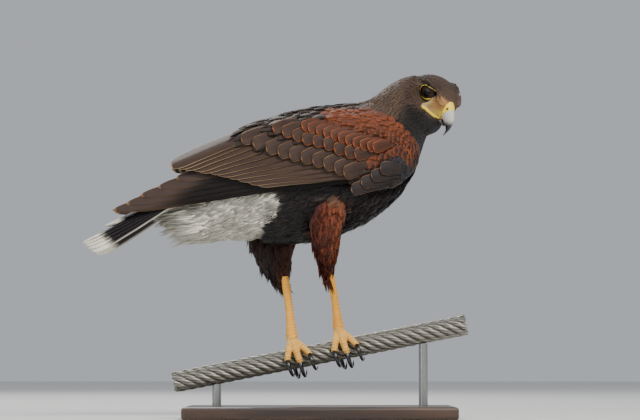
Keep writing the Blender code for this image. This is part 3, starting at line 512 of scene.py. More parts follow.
class Shader:
    """A material under construction, with one Principled BSDF."""

    def __init__(self, name: str) -> None:
        """Make the empty material.

        Args:
            name: the material's name.
        """
        self.material = bpy.data.materials.new(name)
        self.material.use_nodes = True
        self.tree = self.material.node_tree
        self.surface = self.tree.nodes["Principled BSDF"]

    def node(self, kind: str, values: Optional[dict[Any, Any]] = None, **settings: Any) -> bpy.types.Node:
        """Add a node.

        Args:
            kind: the node's type name.
            values: numbers, colours or sockets for its inputs, by name or number.
            settings: the node's own settings, set first.
        Returns:
            The node.
        """
        node = self.tree.nodes.new(kind)
        for key, value in settings.items():
            setattr(node, key, value)
        for key, value in (values or {}).items():
            self.feed(node.inputs[key], value)
        return node

    def make(
        self,
        kind: str,
        values: Optional[dict[Any, Any]] = None,
        output: Union[str, int] = 0,
        **settings: Any,
    ) -> Socket:
        """Add a node and take one of its outputs, named or numbered, for expressions."""
        return Socket(self, self.node(kind, values, **settings).outputs[output])

    def feed(self, target: bpy.types.NodeSocket, value: Any) -> None:
        """Link a socket or set a plain value.

        Args:
            target: the input.
            value: a socket, a colour or a number.
        """
        if isinstance(value, Socket):
            self.tree.links.new(value.socket, target)
        elif isinstance(value, tuple) and len(value) == 3 and target.type == "RGBA":
            target.default_value = (*value, 1.0)
        else:
            target.default_value = value

    def place(self, scale: tuple = (1.0, 1.0, 1.0)) -> Socket:
        """Object coordinates times a scale along each axis."""
        coordinates = self.make("ShaderNodeTexCoord", output="Object")
        return self.make("ShaderNodeMapping", {"Vector": coordinates, "Scale": scale})

    def uv(self, layer: str) -> tuple[Socket, Socket]:
        """The two numbers of a UV map."""
        parts = self.node("ShaderNodeSeparateXYZ", {0: self.make("ShaderNodeUVMap", uv_map=layer)})
        return Socket(self, parts.outputs[0]), Socket(self, parts.outputs[1])

    def noise(self, vector: Socket, scale: float, detail: float = 2.0, rough: float = 0.5) -> Socket:
        """Soft noise from 0 to 1."""
        values = {"Vector": vector, "Scale": scale, "Detail": detail, "Roughness": rough}
        return self.make("ShaderNodeTexNoise", values)

    def painted(self, layer: str, output: str = "Color") -> Socket:
        """A layer that is stored on the mesh."""
        return self.make("ShaderNodeAttribute", output=output, attribute_name=layer)

    def mix(self, first: Any, second: Any, share: Any) -> Socket:
        """Mix two colours, at the inputs 6 and 7 of the node, by a share."""
        return self.make("ShaderNodeMix", {0: share, 6: first, 7: second}, 2, data_type="RGBA")

    def shade(self, colour: Union[Socket, Colour], level: Socket) -> Socket:
        """Multiply a colour by a number that varies."""
        grey = self.make("ShaderNodeCombineXYZ", {0: level, 1: level, 2: level})
        return self.make("ShaderNodeVectorMath", {0: colour, 1: grey}, operation="MULTIPLY")

    def bump(self, height: Socket, depth: float, strength: float) -> Socket:
        """A bumped normal from a height that varies from 0 to 1."""
        return self.make("ShaderNodeBump", {"Height": height, "Distance": depth, "Strength": strength})

    def finish(self, **values: Any) -> bpy.types.Material:
        """Set the surface's inputs, with _ for a blank in a name, and return the material.

        Args:
            values: a value for each input by name.
        Returns:
            The material.
        """
        for name, value in values.items():
            self.feed(self.surface.inputs[name.replace("_", " ")], value)
        return self.material


@dataclass(frozen=True)
class PlumageFinish:
    """Vanes with barbs, a shaft, an edge of another colour and a dark middle where it is painted."""

    roughness: float = 0.62
    barb_depth: float = 0.00035
    dark: Colour = tint(40, 31, 28)
    shaft: Colour = (0.02, 0.014, 0.012)

    def material(self, name: str) -> bpy.types.Material:
        """Build the material, which reads the Vane map and the painted layers.

        Args:
            name: the material's name.
        Returns:
            The material.
        """
        s = Shader(name)
        u, v = s.uv("Vane")
        across = abs(u * 2.0 - 1.0)
        rim, middle, barbs = (s.painted(layer, "Fac") for layer in ("rim", "middle", "barbs"))
        lie = (v - across * 0.16) * barbs
        cloud = s.noise(s.place(), scale=55.0, detail=3.0)
        strands = s.make("ShaderNodeCombineXYZ", {0: lie, 1: across * 1.3, 2: cloud * 7.0})
        streak = s.noise(strands, scale=1.0, detail=3.0, rough=0.7)
        tone = streak * 0.75 + cloud * 0.55 + 0.36
        colour = s.shade(s.painted("ground"), tone)
        heart = (1.0 - across.rise(0.30, 0.86)) * (1.0 - v.rise(0.62, 0.97)) * middle
        colour = s.mix(colour, self.dark, heart)
        shaft = (1.0 - across.rise(0.01, 0.07)) * (1.0 - v.rise(0.80, 0.95))
        colour = s.mix(colour, self.shaft, shaft * 0.45)
        side_edge = across.rise(1.0 - rim * 1.7, 1.0 - rim * 0.5)
        tip_edge = v.rise(1.0 - rim * 0.62, 1.0 - rim * 0.2)
        edge = side_edge.most(tip_edge) * v.rise(0.25, 0.6) * rim.rise(0.0, 0.02)
        colour = s.mix(colour, s.painted("fringe"), edge)
        height = streak * 0.6 + shaft * 0.5
        return s.finish(
            Base_Color=colour,
            Roughness=streak * 0.22 + (self.roughness - 0.11),
            Sheen_Weight=0.06,
            Sheen_Roughness=0.4,
            Specular_IOR_Level=0.22,
            Normal=s.bump(height, depth=self.barb_depth, strength=0.7),
        )


@dataclass(frozen=True)
class SkinFinish:
    """Painted skin with scales or pores."""

    roughness: float
    cell: float
    depth: float
    crease: float = 0.5

    def material(self, name: str) -> bpy.types.Material:
        """Build the material, which reads the painted ground colour.

        Args:
            name: the material's name.
        Returns:
            The material.
        """
        s = Shader(name)
        place = s.place()
        values = {"Vector": place, "Scale": 1.0 / self.cell, "Randomness": 0.75}
        cells = s.make("ShaderNodeTexVoronoi", values, "Distance", feature="DISTANCE_TO_EDGE")
        plate = cells.rise(0.0, 0.22)
        cloud = s.noise(place, scale=160.0, detail=3.0)
        grain = s.noise(place, scale=1400.0, detail=2.0)
        tone = cloud * 0.5 + plate * self.crease + (0.80 - 0.5 * self.crease)
        colour = s.shade(s.painted("ground"), tone)
        height = plate * 0.8 + grain * 0.2
        return s.finish(
            Base_Color=colour,
            Roughness=cloud * 0.25 + (self.roughness - 0.12),
            Specular_IOR_Level=0.4,
            Subsurface_Weight=0.06,
            Subsurface_Scale=0.002,
            Normal=s.bump(height, depth=self.depth, strength=0.8),
        )


@dataclass(frozen=True)
class HornFinish:
    """Satin keratin with growth lines and scratches, painted with its ground colour."""

    roughness: float = 0.32

    def material(self, name: str) -> bpy.types.Material:
        """Build the material.

        Args:
            name: the material's name.
        Returns:
            The material.
        """
        s = Shader(name)
        lines = s.noise(s.place((260.0, 260.0, 900.0)), scale=1.0, detail=3.0, rough=0.6)
        cloud = s.noise(s.place(), scale=210.0, detail=3.0)
        colour = s.shade(s.painted("ground"), lines * 0.3 + cloud * 0.4 + 0.65)
        return s.finish(
            Base_Color=colour,
            Roughness=lines * 0.2 + (self.roughness - 0.1),
            Coat_Weight=0.25,
            Coat_Roughness=0.15,
            Normal=s.bump(lines * 0.5 + cloud * 0.5, depth=0.0001, strength=0.5),
        )


@dataclass(frozen=True)
class EyeFinish:
    """A wet dark eye, its iris and pupil painted on it."""

    def material(self, name: str) -> bpy.types.Material:
        """Build the material.

        Args:
            name: the material's name.
        Returns:
            The material.
        """
        s = Shader(name)
        cloud = s.noise(s.place(), scale=1500.0)
        colour = s.shade(s.painted("ground"), cloud * 0.5 + 0.75)
        wet = {"Roughness": 0.08, "Specular_IOR_Level": 0.14, "Coat_Weight": 0.12, "Coat_Roughness": 0.02}
        return s.finish(Base_Color=colour, **wet)


@dataclass(frozen=True)
class CableFinish:
    """Weathered galvanised wire, wound in the strand."""

    grey: Colour = tint(150, 146, 136)
    groove: Colour = tint(54, 50, 46)
    wires: float = 6.0

    def material(self, name: str) -> bpy.types.Material:
        """Build the material, which reads the Strand map.

        Args:
            name: the material's name.
        Returns:
            The material.
        """
        s = Shader(name)
        turn, run = s.uv("Strand")
        wave = abs(((turn * self.wires + run * 2.4) * math.pi).sine())
        cloud = s.noise(s.place(), scale=120.0, detail=4.0, rough=0.65)
        speck = s.noise(s.place(), scale=1500.0)
        wire = wave.rise(0.05, 0.55)
        grime = cloud.rise(0.45, 0.72)
        colour = s.mix(self.groove, self.grey, wire)
        colour = s.shade(colour, cloud * 0.55 + speck * 0.3 + 0.52)
        return s.finish(
            Base_Color=colour,
            Metallic=wire * 0.55 + 0.1,
            Roughness=grime * 0.25 + 0.38,
            Normal=s.bump(wave * 0.8 + speck * 0.2, depth=0.00035, strength=0.9),
        )


@dataclass(frozen=True)
class WoodFinish:
    """Dark stained wood, grain along X."""

    dark: Colour = tint(46, 34, 28)
    light: Colour = tint(78, 56, 42)

    def material(self, name: str) -> bpy.types.Material:
        """Build the material.

        Args:
            name: the material's name.
        Returns:
            The material.
        """
        s = Shader(name)
        grain = s.noise(s.place((6.0, 70.0, 70.0)), scale=1.0, detail=5.0, rough=0.65)
        pores = s.noise(s.place((40.0, 900.0, 900.0)), scale=1.0)
        colour = s.mix(self.dark, self.light, grain.rise(0.35, 0.7))
        colour = s.shade(colour, pores * 0.4 + 0.8)
        return s.finish(
            Base_Color=colour,
            Roughness=pores * 0.2 + 0.34,
            Coat_Weight=0.15,
            Normal=s.bump(pores * 0.6 + grain * 0.4, depth=0.0001, strength=0.5),
        )


@dataclass(frozen=True)
class SteelFinish:
    """Satin steel rod, brushed round."""

    grey: Colour = tint(160, 160, 158)

    def material(self, name: str) -> bpy.types.Material:
        """Build the material.

        Args:
            name: the material's name.
        Returns:
            The material.
        """
        s = Shader(name)
        lines = s.noise(s.place((90.0, 90.0, 2600.0)), scale=1.0)
        colour = s.shade(self.grey, lines * 0.3 + 0.85)
        return s.finish(
            Base_Color=colour,
            Metallic=0.95,
            Roughness=lines * 0.2 + 0.25,
            Normal=s.bump(lines, depth=0.00003, strength=0.4),
        )


@dataclass(frozen=True)
class BodyForm:
    """Torso and neck, tail root to head: top x and z, bottom x and z, half width."""

    stations: tuple = (
        (-0.148, 0.287, -0.140, 0.240, 0.014),
        (-0.118, 0.305, -0.112, 0.207, 0.028),
        (-0.086, 0.321, -0.078, 0.198, 0.037),
        (-0.049, 0.338, -0.038, 0.194, 0.043),
        (-0.010, 0.350, 0.004, 0.199, 0.046),
        (0.030, 0.354, 0.042, 0.213, 0.046),
        (0.056, 0.360, 0.074, 0.235, 0.043),
        (0.075, 0.3735, 0.097, 0.262, 0.038),
        (0.091, 0.3825, 0.111, 0.290, 0.032),
        (0.108, 0.3860, 0.120, 0.318, 0.026),
    )
    power: float = 2.3

    def spine(self) -> Array:
        """Points along the middle, tail root first.

        Returns:
            The points.
        """
        rows = curve(self.stations, SPINE_POINTS)
        middle = np.zeros((len(rows), 3))
        middle[:, 0] = 0.5 * (rows[:, 0] + rows[:, 2])
        middle[:, 2] = 0.5 * (rows[:, 1] + rows[:, 3])
        return middle


def oval_ring(station: Sequence[float], power: float, count: int, grow: float = 0.0) -> Array:
    """A squarish oval between a top and a bottom point.

    Args:
        station: top x and z, bottom x and z, half width.
        power: 2 for an ellipse, more for squarer.
        count: points on it.
        grow: how far to move outwards.
    Returns:
        The ring's points.
    """
    top = np.array((station[0], 0.0, station[1]))
    bottom = np.array((station[2], 0.0, station[3]))
    half = 0.5 * (top - bottom)
    length = np.linalg.norm(half)
    half = half * max(length + grow, 0.0005) / length
    width = max(station[4] + grow, 0.0005)
    turn = circle(count)
    side = np.sign(np.sin(turn)) * np.abs(np.sin(turn)) ** (2.0 / power)
    rise = np.sign(np.cos(turn)) * np.abs(np.cos(turn)) ** (2.0 / power)
    ring = 0.5 * (top + bottom) + np.outer(rise, half)
    ring[:, 1] += width * side
    return ring


@dataclass(frozen=True)
class HeadForm:
    """The head's own frame, forward, left and up, and its sizes there."""

    centre: tuple = (0.1284, -0.005, 0.3634)
    yaw: float = math.radians(-52.0)
    pitch: float = math.radians(35.0)
    cranium: tuple = (
        (-0.030, 0.004, -0.006, 0.004),
        (-0.026, 0.010, -0.015, 0.014),
        (-0.016, 0.0172, -0.023, 0.021),
        (-0.004, 0.0210, -0.026, 0.0235),
        (0.008, 0.0214, -0.025, 0.0236),
        (0.018, 0.0182, -0.023, 0.0220),
        (0.026, 0.0114, -0.020, 0.0164),
        (0.031, 0.0074, -0.017, 0.0126),
    )
    brow: tuple = (
        (-0.012, 0.0144, 0.0108, 0.0014),
        (0.005, 0.0190, 0.0136, 0.0034),
        (0.017, 0.0184, 0.0118, 0.0036),
        (0.026, 0.0158, 0.0066, 0.0030),
        (0.032, 0.0130, 0.0014, 0.0022),
    )
    upper_bill: tuple = (
        (0.0240, 0.0090, 0.0240, -0.0120, 0.0100),
        (0.0300, 0.0056, 0.0280, -0.0145, 0.0082),
        (0.0350, 0.0022, 0.0312, -0.0160, 0.0066),
        (0.0398, -0.0022, 0.0345, -0.0178, 0.0052),
        (0.0436, -0.0072, 0.0370, -0.0200, 0.0041),
        (0.0450, -0.0138, 0.0392, -0.0222, 0.0030),
        (0.0444, -0.0212, 0.0410, -0.0252, 0.0019),
        (0.0400, -0.0314, 0.0397, -0.0310, 0.0005),
    )
    lower_bill: tuple = (
        (0.0220, -0.0135, 0.0220, -0.0205, 0.0080),
        (0.0275, -0.0150, 0.0270, -0.0215, 0.0066),
        (0.0320, -0.0172, 0.0312, -0.0222, 0.0048),
        (0.0358, -0.0200, 0.0352, -0.0220, 0.0024),
    )
    power: float = 2.2
    throat: tuple = (0.1180, -0.006, 0.3330)
    throat_size: tuple = (0.0215, 0.0200, 0.0185)
    eye_place: tuple = (0.0084, 0.0156, 0.0048)
    eye_axis: tuple = (0.36, 0.92, 0.06)
    eye_size: tuple = (0.0110, 0.0086, 0.0066)
    lid_reach: tuple = (
        0.0093, 0.0112, 0.0087, 0.0070, 0.0064, 0.0068, 0.0082, 0.0096, 0.0101, 0.0101, 0.0093,
        0.0078, 0.0068, 0.0062, 0.0062, 0.0072,
    )
    horn_edge: tuple = (0.0355, -0.0035, 0.88, -0.48)
    nostril: tuple = (0.0340, -0.0012)
    nostril_size: tuple = (0.0013, 0.0015)
    pupil_edge: tuple = (0.0044, 0.0039)
    iris_edge: tuple = (0.0068, 0.0078)
    gape: tuple = (
        (0.0146, -0.0100), (0.0182, -0.0119), (0.0217, -0.0131), (0.0259, -0.0145),
        (0.0298, -0.0156),
    )
    lore: tuple = (
        (0.0132, -0.0078), (0.0150, -0.0106), (0.0217, -0.0137), (0.0300, -0.0162),
        (0.0340, -0.0170), (0.0360, 0.0000), (0.0327, 0.0035), (0.0279, 0.0066), (0.0215, 0.0103),
        (0.0190, 0.0075), (0.0170, 0.0000), (0.0150, -0.0040),
    )

    def axes(self) -> Array:
        """The frame's three directions as rows: forward, left and up.

        Returns:
            A row for each direction.
        """
        cy, sy, cp, sp = math.cos(self.yaw), math.sin(self.yaw), math.cos(self.pitch), math.sin(self.pitch)
        forward = np.array((cy * cp, sy * cp, -sp))
        left = np.array((-sy, cy, 0.0))
        return np.array((forward, left, np.cross(forward, left)))

    def outside(self, local: Array) -> Array:
        """Points of the head's frame in the world."""
        return np.asarray(local, dtype=float) @ self.axes() + np.array(self.centre)

    def inside(self, points: Array) -> Array:
        """World points in the head's frame."""
        return (np.asarray(points, dtype=float) - np.array(self.centre)) @ self.axes().T

    def eye(self, side: Side) -> tuple[Array, Array, Array, Array]:
        """One eye in the world.

        Args:
            side: which eye.
        Returns:
            Its centre, the way it looks, and the ways along and across its lids.
        """
        x, y, z = self.eye_place
        centre = self.outside((x, y * side.value, z))
        ax, ay, az = self.eye_axis
        axis = unit(np.array((ax, ay * side.value, az)) @ self.axes())
        along = self.axes()[0]
        along = unit(along - axis * along.dot(axis))
        upward = self.axes()[2]
        upward = upward - axis * upward.dot(axis)
        return centre, axis, along, unit(upward - along * upward.dot(along))

    def opening(self, points: Array, side: Side) -> tuple[Array, Array, Array, Array]:
        """Where points lie about an eye's opening.

        Args:
            points: world points.
            side: which eye.
        Returns:
            The distance outside the rim of the lids, the places along and across the lids, and
            the height along the eye's axis.
        """
        centre, axis, along, upward = self.eye(side)
        rel = points - centre
        a, b, height = rel @ along, rel @ upward, rel @ axis
        count = len(self.lid_reach)
        wrapped = np.array(self.lid_reach)[np.arange(-2, count + 3) % count][:, None]
        turn = np.arctan2(b, a) / (2.0 * np.pi) * count % count
        reach = resample(wrapped, (turn + 2.0) / (count + 4.0))[:, 0]
        return np.hypot(a, b) - reach, a, b, height

    def bare(self, local: Array) -> Array:
        """How deep a place lies inside the bare lore, whose upper part is feathered on the left."""
        depth = depth_inside(local[:, 0], local[:, 2], self.lore)
        return np.where(local[:, 1] > 0.0, np.minimum(depth, -0.0050 - local[:, 2]), depth)

    def nostril_level(self, local: Array) -> Array:
        """How far places lie from the nostril's middle on the side view, 1 at its rim."""
        (f, u), (wide, tall) = self.nostril, self.nostril_size
        return np.hypot((local[:, 0] - f) / wide, (local[:, 2] - u) / tall)

    def globe(self, a: Array, b: Array, grow: float = 0.0) -> Array:
        """How far the eyeball, grown a little, stands out along its axis at places along and across."""
        wide, tall, deep = (size + grow for size in self.eye_size)
        return deep * np.sqrt(1.0 - np.minimum(np.hypot(a / wide, b / tall), 1.0) ** 2)


@dataclass(frozen=True)
class WingForm:
    """The surface of the folded wing, seen from the side: x, middle z, half height, half width."""

    guide: tuple = (
        (-0.260, 0.222, 0.030, 0.010),
        (-0.200, 0.240, 0.030, 0.018),
        (-0.150, 0.257, 0.032, 0.026),
        (-0.115, 0.263, 0.042, 0.032),
        (-0.080, 0.265, 0.055, 0.039),
        (-0.040, 0.268, 0.064, 0.044),
        (0.000, 0.276, 0.068, 0.0465),
        (0.040, 0.286, 0.066, 0.0455),
        (0.080, 0.303, 0.062, 0.038),
        (0.115, 0.314, 0.060, 0.024),
    )
    core: tuple = (
        (-0.104, 0.300, 0.309, 0.0020),
        (-0.076, 0.299, 0.324, 0.0085),
        (-0.045, 0.295, 0.337, 0.0120),
        (-0.012, 0.288, 0.346, 0.0135),
        (0.020, 0.278, 0.350, 0.0140),
        (0.045, 0.258, 0.351, 0.0140),
        (0.070, 0.255, 0.346, 0.0140),
        (0.090, 0.262, 0.335, 0.0135),
        (0.103, 0.275, 0.319, 0.0110),
        (0.109, 0.288, 0.306, 0.0060),
    )
    power: float = 2.2
    turn: float = 0.90
    clear: float = 0.004

    def out(self, x: Array, z: Array, offset: Array) -> Array:
        """How far the surface stands from the middle plane.

        Args:
            x: places along the bird.
            z: heights.
            offset: how far out from the guide.
        Returns:
            One distance for each place.
        """
        rows = np.array(self.guide)
        middle = np.interp(x, rows[:, 0], rows[:, 1])
        height = np.interp(x, rows[:, 0], rows[:, 2]) + offset
        width = np.interp(x, rows[:, 0], rows[:, 3]) + offset
        level = np.abs((z - middle) / height)
        curved = np.minimum(level, self.turn)
        rest = 1.0 - curved**self.power
        slope = curved ** (self.power - 1.0) * rest ** (1.0 / self.power - 1.0)
        reach = width * (rest ** (1.0 / self.power) - slope * (level - curved))
        return np.maximum(reach, self.clear + 0.1 * offset)

    def point(self, x: Array, z: Array, offset: Array, side: Side) -> tuple[Array, Array]:
        """Points on the surface and the ways out of it.

        Args:
            x: places along the bird.
            z: heights.
            offset: how far out from the guide.
            side: which wing.
        Returns:
            The points and the unit normals.
        """
        step = 0.005
        across = (self.out(x + step, z, offset) - self.out(x - step, z, offset)) / (2 * step)
        upward = (self.out(x, z + step, offset) - self.out(x, z - step, offset)) / (2 * step)
        sign = side.value
        points = np.stack([x, self.out(x, z, offset) * sign, z], axis=-1)
        normals = np.stack([-across, np.full_like(across, sign), -upward], axis=-1)
        return points, unit(normals)


@dataclass(frozen=True)
class ThighForm:
    """One thigh: x, y, z, half length along x, half width along y."""

    side: Side
    stations: tuple
    rows: int = 24
    points: int = 28
    least: float = 0.004

    def rings(self, sink: float) -> Array:
        """Sections of the thigh, sunk below its surface.

        Args:
            sink: how far inside the surface they lie.
        Returns:
            Points by section and place.
        """
        turn = circle(self.points)
        rings = []
        for x, y, z, rx, ry in curve(self.stations, self.rows):
            wide, deep = max(rx - sink, self.least), max(ry - sink, self.least)
            ring = (x + wide * np.cos(turn), y + deep * np.sin(turn), np.full(self.points, z))
            rings.append(np.stack(ring, axis=-1))
        return np.array(rings)

    def knee(self) -> Array:
        """Where the bare leg comes out."""
        return np.array(self.stations[-1][:3])


THIGHS = (
    ThighForm(
        Side.RIGHT,
        (
            (0.014, -0.038, 0.243, 0.012, 0.008),
            (0.012, -0.038, 0.232, 0.018, 0.014),
            (0.007, -0.036, 0.210, 0.019, 0.016),
            (0.008, -0.031, 0.190, 0.0145, 0.0135),
            (0.008, -0.025, 0.174, 0.0105, 0.0095),
            (0.010, -0.020, 0.159, 0.0060, 0.0058),
        ),
    ),
    ThighForm(
        Side.LEFT,
        (
            (-0.040, 0.036, 0.240, 0.014, 0.008),
            (-0.045, 0.037, 0.226, 0.026, 0.015),
            (-0.053, 0.035, 0.205, 0.029, 0.017),
            (-0.052, 0.030, 0.185, 0.022, 0.014),
            (-0.048, 0.025, 0.167, 0.015, 0.010),
            (-0.040, 0.020, 0.152, 0.0068, 0.0062),
        ),
    ),
)
HEAD = HeadForm()
TORSO = BodyForm()
WING = WingForm()


@dataclass(frozen=True)
class CableForm:
    """The cable that the bird grips: strands wound round a core, rising towards +X."""

    height: float = 0.0723
    slope: float = math.radians(11.1)
    radius: float = 0.01175
    strands: int = 7
    strand_radius: float = 0.0033
    lead: float = 0.076
    length: float = 0.330
    core_radius: float = 0.0064
    wire_lay: float = 0.0135
    steps: int = 110
    sides: int = 16
    core_steps: int = 12
    core_sides: int = 20

    def axes(self) -> tuple[Array, Array]:
        """The ways along the cable and up from it."""
        level, rise = math.cos(self.slope), math.sin(self.slope)
        return np.array((level, 0.0, rise)), np.array((-rise, 0.0, level))

    def origin(self) -> Array:
        """The cable's middle at X 0."""
        return np.array((0.0, 0.0, self.height))

    def point(self, axial: Array, turn: Array, reach: Array) -> Array:
        """Points round the cable: distance along it, turn from the top over the near side, radius.

        Args:
            axial: distances along the cable.
            turn: turns from the top over the near side.
            reach: distances from the cable's middle.
        Returns:
            The points.
        """
        axial, turn, reach = np.broadcast_arrays(axial, turn, reach)
        along, up = self.axes()
        near = np.array((0.0, -1.0, 0.0))
        out = np.cos(turn)[..., None] * up + np.sin(turn)[..., None] * near
        return self.origin() + axial[..., None] * along + reach[..., None] * out


CABLE = CableForm()


def depth_inside(x: Array, z: Array, corners: Sequence[tuple[float, float]]) -> Array:
    """How deep places lie inside an outline on the side view, negative outside.

    Args:
        x: places along the bird.
        z: heights.
        corners: the outline's corners in order.
    Returns:
        One distance for each place.
    """
    spots = np.stack([x, z], axis=-1)
    points = np.array(corners)
    nearest = np.full(len(spots), np.inf)
    inside = np.zeros(len(spots), dtype=bool)
    for start, end in zip(points, np.roll(points, -1, axis=0)):
        run = end - start
        share = np.clip(((spots - start) @ run) / run.dot(run), 0.0, 1.0)
        nearest = np.minimum(nearest, np.linalg.norm(spots - start - share[:, None] * run, axis=1))
        crosses = (start[1] > spots[:, 1]) != (end[1] > spots[:, 1])
        rise = run[1] if abs(run[1]) > 1e-9 else 1e-9
        inside ^= crosses & (spots[:, 0] < start[0] + (spots[:, 1] - start[1]) * run[0] / rise)
    return np.where(inside, nearest, -nearest)


@dataclass(frozen=True)
class Markings:
    """Where the bird's colours lie, shared by the skin and the coats."""

    shoulder: tuple = (
        (-0.052, 0.322), (-0.012, 0.342), (0.025, 0.345), (0.063, 0.343), (0.092, 0.332),
        (0.110, 0.310), (0.104, 0.288), (0.047, 0.279), (0.013, 0.288), (-0.008, 0.300),
        (-0.027, 0.308),
    )
    carpal: tuple = (0.0905, 0.2825, 0.0130)
    # Outline of the patch on the near flank that is painted lighter, as if lit past the wing's shadow.
    wedge: tuple = ((0.000, 0.205), (-0.002, 0.222), (0.030, 0.251), (0.044, 0.247), (0.032, 0.212))
    vent_front: float = -0.038
    vent_top: float = 0.256
    neck_plane: tuple = (0.045, 0.356, 0.758, 0.653)
    head_plane: tuple = (0.090, 0.382, 0.933, 0.360)

    def ahead(self, points: Array, plane: tuple) -> Array:
        """How far points lie past a plane, given by its x and z and the way across it."""
        x, z, along, up = plane
        return (points[:, 0] - x) * along + (points[:, 2] - z) * up

    def neck_share(self, points: Array) -> Array:
        """0 on the body, 1 on the neck."""
        return smooth(-0.016, 0.014, self.ahead(points, self.neck_plane))

    def head_share(self, points: Array) -> Array:
        """0 on the neck, 1 on the head."""
        return smooth(-0.010, 0.010, self.ahead(points, self.head_plane))

    def vent_share(self, points: Array) -> Array:
        """1 where the feathers are cream: the vent, and all round the root of the tail.

        Args:
            points: places on the bird.
        Returns:
            One share for each place.
        """
        lean = points[:, 0] - np.minimum(points[:, 2] - 0.236, 0.0)
        front = smooth(self.vent_front + 0.012, self.vent_front - 0.008, lean)
        below = smooth(self.vent_top + 0.005, self.vent_top - 0.005, points[:, 2])
        behind = smooth(-0.112, -0.122, points[:, 0])
        return np.maximum(front * below, behind)

    def body(self, points: Array, normals: Array) -> Array:
        """Ground colour on the body, neck and head, with painted shade underneath and at the throat, and
        painted light on the near flank.

        Args:
            points: places on the bird.
            normals: the ways out of it there.
        Returns:
            One colour for each place.
        """
        # Painted shade: darker brown where the body faces down, mantle brown where it faces up.
        up = smooth(-0.15, 0.45, normals[:, 2])
        colour = lerp(SHADED_BELLY_BROWN, MANTLE_BROWN, up)
        # Painted shade on the neck: darker underneath, and near black at the front under the chin.
        neck = lerp(np.array(SHADED_BELLY_BROWN) * 1.25, NECK_BROWN, smooth(-0.7, 0.1, normals[:, 2]))
        neck = lerp(neck, np.array(CHIN_SHADE) * 1.2, smooth(-0.02, 0.34, normals[:, 0]))
        colour = lerp(colour, neck, self.neck_share(points))
        # Painted light: the patch on the near flank past the wing's shadow is paler, on the near side only.
        wedge = smooth(-0.003, 0.004, depth_inside(points[:, 0], points[:, 2], self.wedge))
        colour = lerp(colour, LIT_FLANK_BROWN, wedge * smooth(0.0, -0.02, points[:, 1]))
        colour = lerp(colour, CREAM, self.vent_share(points))
        return lerp(colour, self.head(points), self.head_share(points))

    def head(self, points: Array) -> Array:
        """Ground colour of the feathers on the head: brown, dark over the eye, and near black at the chin,
        where shade is painted in.

        Args:
            points: places on the bird.
        Returns:
            One colour for each place.
        """
        local = HEAD.inside(points)
        f, u = local[:, 0], local[:, 2]
        drop = u + 0.0100 + 0.37 * (f - 0.0146)
        # Painted shade: near black under the chin.
        chin = smooth(-0.0005, -0.0045, drop) * smooth(-0.020, -0.004, f)
        colour = lerp(CROWN_BROWN, CHIN_SHADE, chin)
        stripe = smooth(0.006, 0.0, np.abs(u - 0.013)) * smooth(-0.024, -0.010, f) * smooth(0.024, 0.012, f)
        return lerp(colour, SHADED_BELLY_BROWN, stripe * 0.6)

    def face(self, points: Array) -> Array:
        """Colour of the bare face: pale lores, and dark lids in a yellow ring.

        Args:
            points: places on the bird.
        Returns:
            One colour for each place.
        """
        local = HEAD.inside(points)
        f, side, u = local[:, 0], np.abs(local[:, 1]), local[:, 2]
        colour = self.head(points)
        depth = HEAD.bare(local)
        tan = smooth(0.016, 0.022, f) * smooth(-0.012, -0.004, u)
        pale = lerp(LORE_PALE, LORE_TAN, tan)
        yellow = smooth(0.024, 0.032, f - 0.3 * u) * smooth(-0.002, -0.010, u)
        pale = lerp(pale, np.array(CERE_YELLOW) * 0.8, yellow * 0.7)
        colour = lerp(colour, pale, smooth(-0.0012, 0.0008, depth) * smooth(0.0, 0.003, side))
        for eye in Side:
            gap, a, b, height = HEAD.opening(points, eye)
            near = smooth(-0.003, 0.000, height)
            above = smooth(0.001, 0.003, b)
            ring = smooth(0.0001, 0.0004, gap) * smooth(0.0020, 0.0015, gap + 0.0006 * above)
            shown = np.maximum(smooth(0.0085, 0.0050, a), above)
            hue = lerp(LID_YELLOW, BROW_YELLOW, above * smooth(-0.006, 0.000, a))
            colour = lerp(colour, hue, ring * near * shown)
            colour = lerp(colour, LID_BLACK, smooth(0.0004, 0.0001, gap) * near)
        return colour

    def thigh(self, points: Array, side: Side) -> Array:
        """Ground colour on the thighs: chestnut, the far one darkened with painted shade, the upper front of
        the near one lightened with painted light.

        Args:
            points: places on the bird.
            side: which side.
        Returns:
            One colour for each place.
        """
        if side is Side.LEFT:
            # Painted shade: the far thigh near black behind, and chestnut at less than half brightness in
            # front.
            return lerp(SHADED_FAR_CHESTNUT, np.array(CHESTNUT) * 0.45, smooth(-0.055, -0.035, points[:, 0]))
        # Painted light: the upper front of the near thigh paler and more rust.
        front = smooth(0.004, 0.022, points[:, 0]) * smooth(0.175, 0.20, points[:, 2])
        return lerp(CHESTNUT, np.array(RUST_EDGE) * 0.85, front * 0.5)

    def wing(self, points: Array) -> tuple[Array, Array, Array]:
        """Ground, fringe and dark-middle share of the small feathers on the folded wing.

        Args:
            points: places on the bird.
        Returns:
            Two colours and a share for each place.
        """
        x, z = points[:, 0], points[:, 2]
        depth = depth_inside(x, z, self.shoulder)
        rust = smooth(-0.003, 0.004, depth)
        ground = lerp(MANTLE_BROWN, RUST, rust)
        cx, cz, radius = self.carpal
        dark = smooth(radius + 0.002, radius - 0.002, np.hypot(x - cx, z - cz))
        ground = lerp(ground, CARPAL_DARK, dark)
        fringe = lerp(np.array(WING_BROWN) * 1.3, RUST_EDGE, rust)
        fringe = lerp(fringe, np.array(CARPAL_DARK) * 1.3, dark)
        upper = smooth(0.315, 0.335, z + 0.12 * (x - 0.03))
        middle = (1.0 - 0.85 * upper) * rust * (1.0 - dark)
        return ground, fringe, middle


MARKS = Markings()


